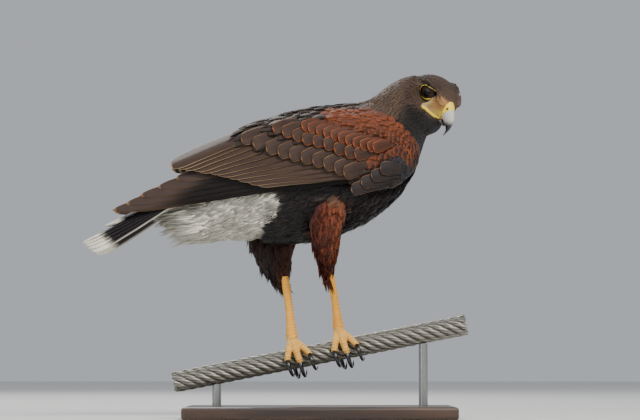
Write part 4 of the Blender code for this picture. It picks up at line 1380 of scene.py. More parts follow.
@dataclass
class Roots:
    """Where feathers grow, and the way each lies."""

    points: Array
    normals: Array
    flow: Array

    def pick(self, keep: Array) -> "Roots":
        """Only the rows that are kept."""
        return Roots(self.points[keep], self.normals[keep], self.flow[keep])

    def __len__(self) -> int:
        """How many."""
        return len(self.points)


def tangent_to(normals: Array, ways: Array) -> Array:
    """Lay directions into the surface."""
    return unit(ways - normals * np.sum(normals * ways, axis=1, keepdims=True))


@dataclass
class Skin:
    """The bird's skin as one closed surface under the coats, and where feathers grow on it."""

    voxel: float = 0.0021
    body_sink: float = 0.0040
    head_sink: float = 0.0018
    thigh_sink: float = 0.0035
    wing_sink: float = 0.0030
    skull_rows: int = 26
    skull_points: int = 40
    torso_rows: int = 64
    torso_points: int = 48
    brow_points: int = 14
    ball_rows: int = 18
    ball_points: int = 28
    arm_rows: int = 40
    arm_points: int = 18
    pole: float = 0.06
    soften_rounds: int = 6

    def build(self) -> bpy.types.Object:
        """Join the lofts of the flesh, remesh them as one skin, model the eyelids and paint it.

        Returns:
            The skin.
        """
        flesh = self.flesh()
        joined = MeshParts()
        for form in flesh.values():
            joined.add(*form)
        obj = one_skin(joined, "skin", self.voxel, self.soften_rounds)
        self.refine_face(obj.data)
        self.shape_lids(obj.data)
        obj.data.shade_smooth()
        self.trees = {
            name: BVHTree.FromPolygons(points.tolist(), faces) for name, (points, faces) in flesh.items()
        }
        self.tree = BVHTree.FromPolygons(
            points_of(obj.data).tolist(), [list(face.vertices) for face in obj.data.polygons]
        )
        self.paint_skin(obj)
        return obj

    def flesh(self) -> dict[str, Form]:
        """The closed lofts that make up the flesh, by name.

        Returns:
            Points and faces by name.
        """
        sections = [(x, top, x, low, half) for x, top, low, half in curve(HEAD.cranium, self.skull_rows)]
        rings = [oval_ring(s, HEAD.power, self.skull_points, -self.head_sink) for s in sections]
        skull = loft(np.array(rings))
        stations = curve(TORSO.stations, self.torso_rows)
        share = smooth(0.55, 1.0, np.linspace(0.0, 1.0, self.torso_rows))
        sinks = lerp(self.body_sink, self.head_sink, share)
        count = self.torso_points
        rings = [oval_ring(s, TORSO.power, count, -sink) for s, sink in zip(stations, sinks)]
        flesh = {"torso": loft(np.array(rings)), "skull": (HEAD.outside(skull[0]), skull[1])}
        flesh["throat"] = self.ball(HEAD.throat, np.array(HEAD.throat_size) - self.head_sink)
        for side in Side:
            rows = curve(HEAD.brow, self.brow_points)
            path = rows[:, :3] * np.array((1.0, side.value, 1.0))
            flesh[f"brow_{side.label}"] = tube(HEAD.outside(path), rows[:, 3] - 0.0006, self.brow_points)
            flesh[f"wing_{side.label}"] = self.arm(side)
        for thigh in THIGHS:
            flesh[f"thigh_{thigh.side.label}"] = loft(thigh.rings(self.thigh_sink))
        return flesh

    def ball(self, centre: Sequence[float], radii: Sequence[float]) -> Form:
        """An ellipsoid with closed poles.

        Args:
            centre: its middle.
            radii: its three half sizes.
        Returns:
            Its points and faces.
        """
        falls = np.linspace(self.pole, np.pi - self.pole, self.ball_rows)[:, None]
        rounds = circle(self.ball_points)
        ring = (np.sin(falls) * np.cos(rounds), np.sin(falls) * np.sin(rounds), np.cos(falls) + 0.0 * rounds)
        return loft(np.stack(ring, axis=-1) * np.array(radii) + np.array(centre))

    def arm(self, side: Side) -> Form:
        """The fleshy arm of the folded wing under its small coverts.

        Args:
            side: which side.
        Returns:
            Its points and faces.
        """
        rings = []
        v = np.linspace(0.0, 1.0, self.arm_points)
        crown = np.sqrt(np.maximum(0.0, 1.0 - (2.0 * v - 1.0) ** 2))
        fall = 0.75 * np.maximum(0.0, 2.0 * v - 1.0) ** 2
        for x, low, high, offset in curve(WING.core, self.arm_rows):
            z = low + (high - low) * (0.02 + 0.96 * v)
            outer_offset = offset * (0.82 + 0.18 * crown - fall) - self.wing_sink
            outer, _ = WING.point(np.full_like(z, x), z, outer_offset, side)
            inner, _ = WING.point(np.full_like(z, x), z, np.full_like(z, -0.014), side)
            rings.append(np.concatenate([outer, inner[::-1]]))
        return loft(np.array(rings))

    def refine_face(self, mesh: bpy.types.Mesh) -> None:
        """Split the faces of the head twice, so that lids and brows have enough points.

        Args:
            mesh: the mesh.
        """
        bm = bmesh.new()
        bm.from_mesh(mesh)
        for limit in (0.040, 0.0200):
            bm.verts.ensure_lookup_table()
            points = np.array([v.co for v in bm.verts])
            local = HEAD.inside(points)
            if limit > 0.03:
                near = (np.linalg.norm(local, axis=1) < limit) & (local[:, 0] > -0.016)
            else:
                gaps = [np.linalg.norm(points - HEAD.eye(side)[0], axis=1) for side in Side]
                near = np.minimum(*gaps) < limit
            edges = [e for e in bm.edges if near[e.verts[0].index] and near[e.verts[1].index]]
            bmesh.ops.subdivide_edges(bm, edges=edges, cuts=1, use_grid_fill=True, smooth=0.3)
        bmesh.ops.triangulate(bm, faces=[f for f in bm.faces if len(f.verts) > 4])
        bm.to_mesh(mesh)
        bm.free()

    def shape_lids(self, mesh: bpy.types.Mesh) -> None:
        """Sink the skin behind each eye, raise thin lids round the opening and a brow above it.

        Args:
            mesh: the mesh.
        """
        points = points_of(mesh)
        for side in Side:
            axis = HEAD.eye(side)[1]
            gap, a, b, height = HEAD.opening(points, side)
            near = (height > -0.004) & (gap < 0.008)
            globe = HEAD.globe(a, b)
            above = smooth(0.000, 0.003, b)
            lid = HEAD.globe(a, b, 0.0010) + 0.0003 * above
            groove = 0.0005 * smooth(0.0012, 0.0019, gap) * smooth(0.0032, 0.0024, gap) * (1.0 - above)
            blend = smooth(1.0, 0.0, (gap - 0.0016) / (0.0046 - 0.0022 * above))
            target = height + (lid - groove - height) * blend
            inner = smooth(0.0001, -0.0007, gap)
            corner = np.minimum(np.hypot(a / HEAD.eye_size[0], b / HEAD.eye_size[1]), 1.0)
            sunk = globe - 0.0026 + 0.0030 * smooth(0.90, 1.0, corner)
            target = target * (1.0 - inner) + sunk * inner
            points = points + np.where(near, target - height, 0.0)[:, None] * axis
        mesh.vertices.foreach_set("co", points.ravel())
        mesh.update()

    def nearest_source(self, point: Array) -> str:
        """Which loft of the flesh lies nearest to a point.

        Args:
            point: the point.
        Returns:
            The loft's name.
        """
        best, found = 1e9, "torso"
        for name, tree in self.trees.items():
            distance = tree.find_nearest(point)[3]
            if distance is not None and distance < best:
                best, found = distance, name
        return found

    def colour_at(self, points: Array, normals: Array, sources: Array) -> Array:
        """The ground colour of the feathers at points of the skin.

        Args:
            points: places on the skin.
            normals: the ways out of it.
            sources: the name of the flesh under each.
        Returns:
            One colour for each point.
        """
        body = MARKS.body(points, normals)
        colour = lerp(body, MARKS.face(points), MARKS.head_share(points))
        for side in Side:
            thigh, wing = ((sources == f"{name}_{side.label}")[:, None] for name in ("thigh", "wing"))
            colour = np.where(thigh, MARKS.thigh(points, side), colour)
            colour = np.where(wing, MARKS.wing(points)[0], colour)
        return colour

    def paint_skin(self, obj: bpy.types.Object) -> None:
        """Store the ground colour and a leathery finish on the skin.

        Args:
            obj: the object.
        """
        points, normals = points_of(obj.data), normals_of(obj.data)
        sources = np.array([self.nearest_source(p) for p in points])
        paint(obj.data, "ground", self.colour_at(points, normals, sources))
        finish = SkinFinish(roughness=0.6, cell=0.0008, depth=0.0001, crease=0.12)
        obj.data.materials.append(finish.material("bird skin"))
        obj.data.calc_loop_triangles()
        self.triangles = np.array([t.vertices for t in obj.data.loop_triangles])
        self.points, self.normals = points, normals
        self.face_source = sources[self.triangles[:, 0]]

    def scatter(
        self,
        sources: Sequence[str],
        spacing: Callable[[Array, Array], Array],
        flow: Callable[[Array, Array], Array],
        seed: int,
        crowd: float = 5.0,
    ) -> Roots:
        """Spread roots over part of the skin, no two closer than their spacing.

        Args:
            sources: names of the flesh to grow on.
            spacing: gives the wanted distance at points and normals, or 0 for none.
            flow: gives the way the feathers lie at points and normals.
            seed: fixes the places.
            crowd: tries for each place that can be filled.
        Returns:
            The roots that were kept.
        """
        rng = np.random.default_rng(seed)
        faces = self.triangles[np.isin(self.face_source, list(sources))]
        corners = self.points[faces]
        middle = corners.mean(axis=1)
        cross = np.cross(corners[:, 1] - corners[:, 0], corners[:, 2] - corners[:, 0])
        area = 0.5 * np.linalg.norm(cross, axis=1)
        gap = spacing(middle, unit(cross))
        weight = np.where(gap > 0.0, area / np.maximum(gap, 1e-4) ** 2, 0.0)
        count = int(weight.sum() * crowd)
        chosen = rng.choice(len(faces), size=count, p=weight / weight.sum())
        share = rng.random((count, 2))
        share = np.where(share.sum(axis=1, keepdims=True) > 1.0, 1.0 - share, share)
        mix = np.stack([1.0 - share.sum(axis=1), share[:, 0], share[:, 1]], axis=1)
        points = np.einsum("ij,ijk->ik", mix, corners[chosen])
        normals = unit(np.einsum("ij,ijk->ik", mix, self.normals[faces[chosen]]))
        keep = thin_out(points, spacing(points, normals))
        points, normals = points[keep], normals[keep]
        return Roots(points, normals, tangent_to(normals, flow(points, normals)))


def thin_out(points: Array, gaps: Array) -> Array:
    """Keep points, first come first served, that are no closer to a kept one than their gap.

    Args:
        points: candidates in order.
        gaps: the distance each wants, 0 to drop it.
    Returns:
        Indices of the kept points.
    """
    cell = float(gaps.max())
    cells = np.floor(points / cell).astype(int)
    grid: dict[tuple[int, int, int], list[int]] = {}
    kept = []
    around = [(i, j, k) for i in (-1, 0, 1) for j in (-1, 0, 1) for k in (-1, 0, 1)]
    for index, (x, y, z) in enumerate(cells.tolist()):
        if gaps[index] <= 0.0:
            continue
        near = [n for i, j, k in around for n in grid.get((x + i, y + j, z + k), ())]
        if near:
            away = points[near] - points[index]
            if np.min(np.einsum("ij,ij->i", away, away)) < gaps[index] ** 2:
                continue
        grid.setdefault((x, y, z), []).append(index)
        kept.append(index)
    return np.array(kept, dtype=int)


def unwrap(points: Array) -> Array:
    """Places on an unrolled skin: along the spine and round it.

    Args:
        points: world points.
    Returns:
        Two numbers from 0 to 1 for each.
    """
    spine = TORSO.spine()
    gaps = np.linalg.norm(points[:, None, ::2] - spine[None, :, ::2], axis=2)
    nearest = np.argmin(gaps, axis=1)
    rel = points - spine[nearest]
    tangent = unit(np.gradient(spine, axis=0)[nearest])
    up = rel[:, 2] * tangent[:, 0] - rel[:, 0] * tangent[:, 2]
    ahead = rel[:, 0] * tangent[:, 0] + rel[:, 2] * tangent[:, 2]
    turn = np.arctan2(rel[:, 1], -up) / (2.0 * np.pi) + 0.5
    along = nearest / (SPINE_POINTS - 1) * SPINE_RUN + ahead
    run = (along + UNROLLED_START) / UNROLLED_LENGTH
    return np.stack([np.clip(run, 0.01, 0.99), np.clip(turn, 0.01, 0.99)], axis=1)


class FeatherTemplates:
    """The few small closed shapes that every coat is laid with, each one unit long along +Y."""

    def __init__(self) -> None:
        """Build the templates in a collection of their own, in alphabetical order."""
        self.collection = bpy.data.collections.new("feather templates")
        self.kinds: dict[Template, list[int]] = {kind: [] for kind in Template}
        rng = np.random.default_rng(TEMPLATE_SEED)
        made = [(Template.LEAF, self.leaf(rng, ragged)) for ragged in (0.0, 0.05, 0.10)]
        made += [(Template.PLUME, self.plume(rng)) for _ in range(3)]
        made.append((Template.BRISTLE, self.bristle()))
        for index, (kind, obj) in enumerate(made):
            obj.name = f"template_{index}"
            bpy.context.scene.collection.objects.unlink(obj)
            self.collection.objects.link(obj)
            self.kinds[kind].append(index)

    def leaf(self, rng: np.random.Generator, ragged: float) -> bpy.types.Object:
        """A rounded vane, thin at its border, arched over its length.

        Args:
            rng: gives the random draws.
            ragged: how uneven its border is.
        Returns:
            The template.
        """
        rows = np.array((0.0, 0.22, 0.45, 0.68, 0.86, 0.96))
        widths = np.array((0.45, 0.86, 1.0, 0.93, 0.66, 0.34)) * 0.5
        widths = widths * (1.0 + ragged * rng.uniform(-1.0, 1.0, len(rows)))
        points, uv, faces = [], [], []
        for v, width in zip(rows, widths):
            for side in (-1.0, 0.0, 1.0):
                arch = 4.0 * v * (1.0 - v)
                fall = -0.10 * abs(side) * (1.0 + v)
                points.append((side * width, v + 0.02 * ragged * side, arch + fall))
                uv.append((0.5 + 0.5 * side, v))
        tip = len(points)
        points.append((0.0, 1.0, 0.0))
        uv.append((0.5, 1.0))
        under = len(points)
        for i, v in enumerate(rows):
            x, y, z = points[i * 3 + 1]
            points.append((x, y, z - 0.20))
            uv.append((0.5, v))
        last = len(rows) - 1
        for i in range(last):
            left, mid, right = i * 3, i * 3 + 1, i * 3 + 2
            faces += [[left, mid, mid + 3, left + 3], [mid, right, right + 3, mid + 3]]
            low = under + i
            faces += [[low, left, left + 3, low + 1], [right, low, low + 1, right + 3]]
        faces += [[last * 3, last * 3 + 1, tip], [last * 3 + 1, last * 3 + 2, tip]]
        faces += [[under + last, last * 3, tip], [last * 3 + 2, under + last, tip]]
        faces += [[0, under, 1], [1, under, 2]]
        return closed("leaf", (np.array(points), faces), Vane=np.array(uv))

    def plume(self, rng: np.random.Generator) -> bpy.types.Object:
        """A loose fan of thin barbs.

        Args:
            rng: gives the random draws.
        Returns:
            The template.
        """
        parts = MeshParts()
        for side in np.linspace(-1.0, 1.0, 7):
            reach = 1.0 - 0.22 * side**2 + rng.uniform(-0.12, 0.06)
            start = np.array((side * 0.16, 0.0, 0.0))
            middle = np.array((side * 0.44 + rng.uniform(-0.05, 0.05), 0.52 * reach, 0.92 - 0.25 * abs(side)))
            end = np.array((side * 0.40 + rng.uniform(-0.10, 0.10), reach, rng.uniform(-0.25, 0.35)))
            points = []
            for centre, width, depth in ((start, 0.07, 0.12), (middle, 0.15, 0.20)):
                points += [centre - (width, 0, 0), centre + (width, 0, 0), centre - (0, 0, depth)]
            points.append(end)
            faces = [[0, 1, 2], [0, 3, 4, 1], [1, 4, 5, 2], [2, 5, 3, 0], [3, 6, 4], [4, 6, 5], [5, 6, 3]]
            points = np.array(points)
            across = np.clip(0.5 + points[:, 0] * 0.85, 0.02, 0.98)
            parts.add(points, faces, Vane=np.stack([across, np.clip(points[:, 1], 0, 1)], axis=1))
        return outward(parts.build("plume"))

    def bristle(self) -> bpy.types.Object:
        """One stiff hair, curved along its length.

        Returns:
            The template.
        """
        points = []
        for v, width in ((0.0, 0.5), (0.5, 0.36)):
            arch = 4.0 * v * (1.0 - v)
            points += [(-width, v, arch), (width, v, arch), (0.0, v, arch + width)]
        points.append((0.0, 1.0, 0.0))
        faces = [[0, 2, 1], [0, 1, 4, 3], [1, 2, 5, 4], [2, 0, 3, 5], [3, 4, 6], [4, 5, 6], [5, 3, 6]]
        uv = np.array([(0.5, p[1]) for p in points])
        return closed("bristle", (np.array(points), faces), Vane=uv)

    def remove(self) -> None:
        """Take the templates out of the scene once every coat is laid."""
        for obj in list(self.collection.objects):
            bpy.data.objects.remove(obj, do_unlink=True)
        bpy.data.collections.remove(self.collection)


class PieceTree:
    """A Geometry Nodes tree with named inputs that ends in Realize Instances and Set Material."""

    def __init__(self, name: str, inputs: dict[str, str]) -> None:
        """Make the tree's interface.

        Args:
            name: the tree's name.
            inputs: the kind of each input between its geometry and its finish.
        """
        self.tree = bpy.data.node_groups.new(name, "GeometryNodeTree")
        self.sockets = {}
        face = self.tree.interface
        for title, kind in {"Geometry": "Geometry", **inputs, "Finish": "Material"}.items():
            socket = face.new_socket(title, in_out="INPUT", socket_type=f"NodeSocket{kind}")
            self.sockets[title] = socket.identifier
        face.new_socket("Geometry", in_out="OUTPUT", socket_type="NodeSocketGeometry")
        self.given = self.add("NodeGroupInput", {}).outputs

    def add(self, kind: str, values: dict[Any, Any], **settings: Any) -> bpy.types.Node:
        """Add a node.

        Args:
            kind: the node's type name.
            values: plain values or outputs of other nodes for its inputs.
            settings: the node's own settings, set first.
        Returns:
            The node.
        """
        node = self.tree.nodes.new(kind)
        for key, value in settings.items():
            setattr(node, key, value)
        for key, value in values.items():
            if isinstance(value, bpy.types.NodeSocket):
                self.tree.links.new(value, node.inputs[key])
            else:
                node.inputs[key].default_value = value
        return node

    def finish(self, geometry: bpy.types.NodeSocket) -> None:
        """End the tree: make the copies real and put the finish on them.

        Args:
            geometry: the output that holds the copies.
        """
        real = self.add("GeometryNodeRealizeInstances", {"Geometry": geometry})
        values = {"Geometry": real.outputs[0], "Material": self.given["Finish"]}
        dress = self.add("GeometryNodeSetMaterial", values)
        self.add("NodeGroupOutput", {"Geometry": dress.outputs[0]})

    def run(self, obj: bpy.types.Object, values: dict[str, Any]) -> None:
        """Give an object the mesh that the tree makes of it with these inputs.

        Args:
            obj: the carrier.
            values: a value for each named input.
        """
        modifier = obj.modifiers.new(self.tree.name, "NODES")
        modifier.node_group = self.tree
        for title, value in values.items():
            modifier[self.sockets[title]] = value
        settle(obj)


def carpet_tree() -> PieceTree:
    """Build the tree that sets feather templates on a carrier's points.

    Returns:
        The tree.
    """
    factors = {"Length factor": "Float", "Width factor": "Float"}
    tree = PieceTree("feather carpet", {"Templates": "Collection", **factors})
    given = tree.given
    values = {"Collection": given["Templates"], "Separate Children": True, "Reset Children": True}
    templates = tree.add("GeometryNodeCollectionInfo", values).outputs["Instances"]
    stored = {}
    for name, data_type in (("kind", "INT"), ("turn", "FLOAT_VECTOR"), ("size", "FLOAT_VECTOR")):
        node = tree.add("GeometryNodeInputNamedAttribute", {"Name": name}, data_type=data_type)
        stored[name] = node.outputs["Attribute"]
    values = {"X": given["Width factor"], "Y": given["Length factor"], "Z": 1.0}
    factor = tree.add("ShaderNodeCombineXYZ", values).outputs[0]
    scale = tree.add("ShaderNodeVectorMath", {0: stored["size"], 1: factor}, operation="MULTIPLY")
    rotate = tree.add("FunctionNodeEulerToRotation", {"Euler": stored["turn"]})
    values = {"Points": given["Geometry"], "Instance": templates, "Instance Index": stored["kind"]}
    values |= {"Pick Instance": True, "Rotation": rotate.outputs[0], "Scale": scale.outputs[0]}
    tree.finish(tree.add("GeometryNodeInstanceOnPoints", values).outputs["Instances"])
    return tree


@dataclass
class Layer:
    """How one tract of feathers is laid."""

    length: float
    width: float
    depth: float
    kind: Template = Template.LEAF
    rim: float = 0.2
    middle: float = 0.0
    spread: float = 0.12
    tone: float = 0.14
    barb: float = 0.0014


class Coat:
    """Lays layers of feathers over the skin and makes each coat one mesh."""

    def __init__(self, skin: Skin, templates: FeatherTemplates, tree: PieceTree) -> None:
        """Keep what every coat shares.

        Args:
            skin: the finished skin.
            templates: the feather templates.
            tree: the tree that sets them.
        """
        self.skin, self.templates, self.carpet = skin, templates, tree
        self.finish = PlumageFinish().material("plumage")
        self.rng = np.random.default_rng(COAT_SEED)
        self.rows: dict[str, list[Array]] = {}

    def lay(
        self,
        roots: Roots,
        layer: Layer,
        ground: Array,
        fringe: Array,
        scale: Optional[Array] = None,
        middle: Optional[Array] = None,
    ) -> None:
        """Add a layer to the coat in hand.

        Args:
            roots: where the feathers grow.
            layer: their sizes and kind.
            ground: a colour for each.
            fringe: the colour of each one's edge.
            scale: a factor on each one's length and width.
            middle: how dark each one's middle is.
        """
        rng, count = self.rng, len(roots)
        scale = np.ones(count) if scale is None else scale
        length = layer.length * scale * (1.0 + 0.12 * rng.uniform(-1, 1, count))
        width = layer.width * scale * (1.0 + 0.10 * rng.uniform(-1, 1, count))
        side = np.cross(roots.flow, roots.normals)
        flow = unit(roots.flow + side * (layer.spread * rng.uniform(-1, 1, count))[:, None])
        lift = layer.depth * (0.75 + 0.4 * rng.random(count)) * np.minimum(scale, 1.3)
        turns = np.zeros((count, 3))
        arches = np.zeros(count)
        find = self.skin.tree.find_nearest
        for i in range(count):
            p, n, f = roots.points[i], roots.normals[i], flow[i]
            falls = []
            for reach in (0.5, 1.0):
                spot = p + f * (length[i] * reach)
                near = np.array(find(spot)[0])
                falls.append(float(np.clip((near - spot).dot(n), -0.45 * length[i], 0.25 * length[i])))
            end = falls[1] + lift[i]
            arches[i] = max(falls[0] + 0.8 * lift[i] - 0.5 * end, 0.05 * length[i])
            angle = math.atan2(end, length[i])
            length[i] = math.hypot(length[i], end)
            y = f * math.cos(angle) + n * math.sin(angle)
            z = n * math.cos(angle) - f * math.sin(angle)
            x = np.cross(y, z)
            turns[i] = Matrix(np.array((x, y, z)).T.tolist()).to_euler("XYZ")
        kinds = rng.choice(self.templates.kinds[layer.kind], count)
        tone = (1.0 + layer.tone * rng.uniform(-1, 1, count))[:, None]
        middle = np.full(count, layer.middle) if middle is None else middle
        self.store("point", roots.points - roots.normals * 0.0002)
        self.store("turn", turns)
        self.store("size", np.stack([width, length, arches], axis=1))
        self.store("kind", kinds[:, None])
        self.store("ground", np.broadcast_to(ground, (count, 3)) * tone)
        self.store("fringe", np.broadcast_to(fringe, (count, 3)) * tone)
        self.store("rim", np.full((count, 1), layer.rim))
        self.store("middle", middle[:, None])
        self.store("barbs", (length / layer.barb)[:, None])
        self.store("place", np.concatenate([unwrap(roots.points), np.zeros((count, 1))], axis=1))

    def store(self, name: str, rows: Array) -> None:
        """Add rows to one list of the coat in hand."""
        self.rows.setdefault(name, []).append(np.asarray(rows, dtype=float))

    def finish_coat(self, name: str, slot: str) -> None:
        """Make the coat in hand one plain mesh on the body.

        Args:
            name: the piece's name.
            slot: not used.
        """
        rows = {key: np.concatenate(parts) for key, parts in self.rows.items()}
        self.rows = {}
        mesh = bpy.data.meshes.new(name)
        mesh.from_pydata(rows["point"].tolist(), [], [])
        for key in ("turn", "size", "place"):
            stored = mesh.attributes.new(key, "FLOAT_VECTOR", "POINT").data
            stored.foreach_set("vector", rows[key].astype(np.float32).ravel())
        stored = mesh.attributes.new("kind", "INT", "POINT").data
        stored.foreach_set("value", rows["kind"].astype(np.int32).ravel())
        for key in ("ground", "fringe", "rim", "middle", "barbs"):
            paint(mesh, key, rows[key])
        obj = link(mesh, name)
        factors = {"Length factor": 1.0, "Width factor": 1.0}
        self.carpet.run(obj, {"Templates": self.templates.collection, **factors, "Finish": self.finish})
        self.bake_map(obj.data)
        for key in ("turn", "size", "place", "kind"):
            if key in obj.data.attributes:
                obj.data.attributes.remove(obj.data.attributes[key])
        obj.data.shade_smooth()
        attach(obj, BODY)
        report(obj)

    def bake_map(self, mesh: bpy.types.Mesh) -> None:
        """Give each feather a small patch at its root's place on the unrolled skin.

        Args:
            mesh: the mesh.
        """
        place = np.zeros(len(mesh.vertices) * 3, dtype=np.float32)
        mesh.attributes["place"].data.foreach_get("vector", place)
        vane = np.zeros(len(mesh.loops) * 2, dtype=np.float32)
        mesh.uv_layers["Vane"].uv.foreach_get("vector", vane)
        patch = place.reshape(-1, 3)[corners_of(mesh), :2] + (vane.reshape(-1, 2) - 0.5) * 0.003
        mesh.uv_layers.new(name="OFBake").uv.foreach_set("vector", patch.astype(np.float32).ravel())


def report(obj: bpy.types.Object) -> None:
    """Log a finished piece and its size in triangles."""
    obj.data.calc_loop_triangles()
    log.info("%s: %d triangles", obj.name, len(obj.data.loop_triangles))


class BodyCoats:
    """Every coat that grows on the skin."""

    def __init__(self, skin: Skin, coat: Coat) -> None:
        """Keep the skin and the tool that lays feathers.

        Args:
            skin: the finished skin.
            coat: the tool that lays feathers.
        """
        self.skin, self.coat = skin, coat
        self.spine = TORSO.spine()
        self.tangents = -unit(np.gradient(self.spine, axis=0))

    def body_flow(self, points: Array, normals: Array) -> Array:
        """Towards the tail, and a little down on the sides.

        Args:
            points: places on the bird.
            normals: the ways out of it there.
        Returns:
            A way for each place.
        """
        gaps = np.linalg.norm(points[:, None, ::2] - self.spine[None, :, ::2], axis=2)
        ways = self.tangents[np.argmin(gaps, axis=1)].copy()
        ways[:, 2] -= 0.25 * (1.0 - np.abs(normals[:, 2]))
        return ways

    def head_flow(self, points: Array, normals: Array) -> Array:
        """Away from the bill, and down the throat.

        Args:
            points: places on the bird.
            normals: the ways out of it there.
        Returns:
            A way for each place.
        """
        local = HEAD.inside(points)
        ways = local * np.array((0.0, 0.4, 0.2)) / 0.022 - np.array((1.0, 0.0, 0.0))
        world = ways @ HEAD.axes()
        low = smooth(-0.008, -0.020, local[:, 2])[:, None]
        world = world * (1.0 - low) + np.array((-0.35, 0.0, -0.9)) * low
        share = MARKS.head_share(points)[:, None]
        return unit(world) * share + unit(self.body_flow(points, normals)) * (1.0 - share)

    def covered(self, points: Array) -> Array:
        """How deep a place on the body lies under the folded wing.

        Args:
            points: places on the bird.
        Returns:
            One depth for each place, negative outside the wing.
        """
        outline = (
            (-0.150, 0.285), (-0.045, 0.328), (0.060, 0.342), (0.104, 0.318), (0.080, 0.262),
            (-0.020, 0.262), (-0.120, 0.272),
        )
        depth = depth_inside(points[:, 0], points[:, 2], outline)
        return np.where(np.abs(points[:, 1]) > 0.014, depth, -1.0)

    def grounds(self, roots: Roots) -> Array:
        """The ground colour at each root."""
        return MARKS.body(roots.points, roots.normals)

    def head(self) -> None:
        """Crown, cheeks, chin and nape, the smallest feathers, and the bristles of the lores."""

        def clear_of_face(points: Array, normals: Array) -> Array:
            """Whether feathers may grow: not on lids, lores or under the bill's root.

            Args:
                points: places on the bird.
                normals: the ways out of it there.
            Returns:
                True for each place that may.
            """
            local = HEAD.inside(points)
            free = (local[:, 0] < 0.0300) & (MARKS.head_share(points) > 0.0)
            free &= HEAD.bare(local) < 0.0002
            free &= ~((normals @ HEAD.axes()[0] < -0.5) & (local[:, 0] > -0.012))
            for side in Side:
                gap, _, b, height = HEAD.opening(points, side)
                free &= ~((gap < np.where(b > 0.0, 0.0012, 0.0021)) & (height > -0.004))
            return free

        def spacing(points: Array, normals: Array) -> Array:
            """Closest round the bill and the eyes.

            Args:
                points: places on the bird.
                normals: the ways out of it there.
            Returns:
                The distance to keep at each, 0 for no feather.
            """
            local = HEAD.inside(points)
            gap = 0.0011 + 0.0007 * smooth(0.022, -0.022, local[:, 0])
            return np.where(clear_of_face(points, normals), gap, 0.0)

        sources = ("skull", "throat", "torso", "brow_right", "brow_left")
        roots = self.skin.scatter(sources, spacing, self.head_flow, seed=101)
        local = HEAD.inside(roots.points)
        scale = 0.62 + 0.80 * smooth(0.026, -0.024, local[:, 0])
        scale *= 1.0 - 0.25 * smooth(0.018, 0.028, local[:, 0])
        ground = self.grounds(roots)
        layer = Layer(
            length=0.0056, width=0.0021, depth=0.0005, rim=0.06, spread=0.20, tone=0.10, barb=0.0006
        )
        self.coat.lay(roots, layer, ground, ground * 1.1, scale)

        def lore_spacing(points: Array, normals: Array) -> Array:
            """Sparse hairs between eye and bill.

            Args:
                points: places on the bird.
                normals: the ways out of it there.
            Returns:
                The distance to keep at each, 0 for no feather.
            """
            local = HEAD.inside(points)
            lore = HEAD.bare(local) > 0.0006
            lore &= (local[:, 0] < 0.031) & (np.abs(local[:, 1]) > 0.004)
            return np.where(lore, 0.0010, 0.0)

        def lore_flow(points: Array, normals: Array) -> Array:
            """Forward and up over the cere."""
            return np.broadcast_to(np.array((0.6, 0.0, 0.8)) @ HEAD.axes(), points.shape)

        hairs = self.skin.scatter(sources, lore_spacing, lore_flow, seed=103)
        layer = Layer(
            length=0.0034, width=0.00009, depth=0.0006, kind=Template.BRISTLE, rim=0.0, spread=0.5
        )
        self.coat.lay(hairs, layer, BRISTLE_BROWN, BRISTLE_BROWN)
        self.coat.finish_coat("coat_head", "plumage_dark")

    def neck(self) -> None:
        """The smooth feathers of the neck and nape."""

        def spacing(points: Array, normals: Array) -> Array:
            """Between the head and the shoulders.

            Args:
                points: places on the bird.
                normals: the ways out of it there.
            Returns:
                The distance to keep at each, 0 for no feather.
            """
            neck, head = MARKS.neck_share(points), MARKS.head_share(points)
            use = (neck > 0.25) & (head < 0.85)
            return np.where(use, 0.0019 - 0.0004 * head, 0.0)

        sources = ("torso", "throat", "skull")
        roots = self.skin.scatter(sources, spacing, self.head_flow, seed=107)
        head = MARKS.head_share(roots.points)
        ground = self.grounds(roots)
        layer = Layer(
            length=0.0112, width=0.0039, depth=0.0010, rim=0.08, spread=0.18, tone=0.12, barb=0.0009
        )
        self.coat.lay(roots, layer, ground, ground * 1.15, 1.0 - 0.42 * head)
        self.coat.finish_coat("coat_neck", "plumage_dark")

    def mantle(self) -> None:
        """The back between the wings and the scapulars that hang over their upper edge."""

        def spacing(points: Array, normals: Array) -> Array:
            """On the upper half of the body.

            Args:
                points: places on the bird.
                normals: the ways out of it there.
            Returns:
                The distance to keep at each, 0 for no feather.
            """
            use = (normals[:, 2] > 0.05) & (MARKS.neck_share(points) < 0.5) & (points[:, 0] > -0.128)
            use &= self.covered(points) < 0.014
            return np.where(use, 0.0042, 0.0)

        def scapular_spacing(points: Array, normals: Array) -> Array:
            """Along the join of wing and back.

            Args:
                points: places on the bird.
                normals: the ways out of it there.
            Returns:
                The distance to keep at each, 0 for no feather.
            """
            use = (normals[:, 2] > 0.25) & (np.abs(points[:, 1]) > 0.008)
            use &= (points[:, 0] < 0.012) & (points[:, 0] > -0.092)
            return np.where(use, 0.0060, 0.0)

        def scapular_flow(points: Array, normals: Array) -> Array:
            """Back along the wing, a little outwards."""
            outwards = np.sign(points[:, 1]) * 0.10
            return np.stack([np.full(len(points), -1.0), outwards, np.full(len(points), -0.42)], axis=1)

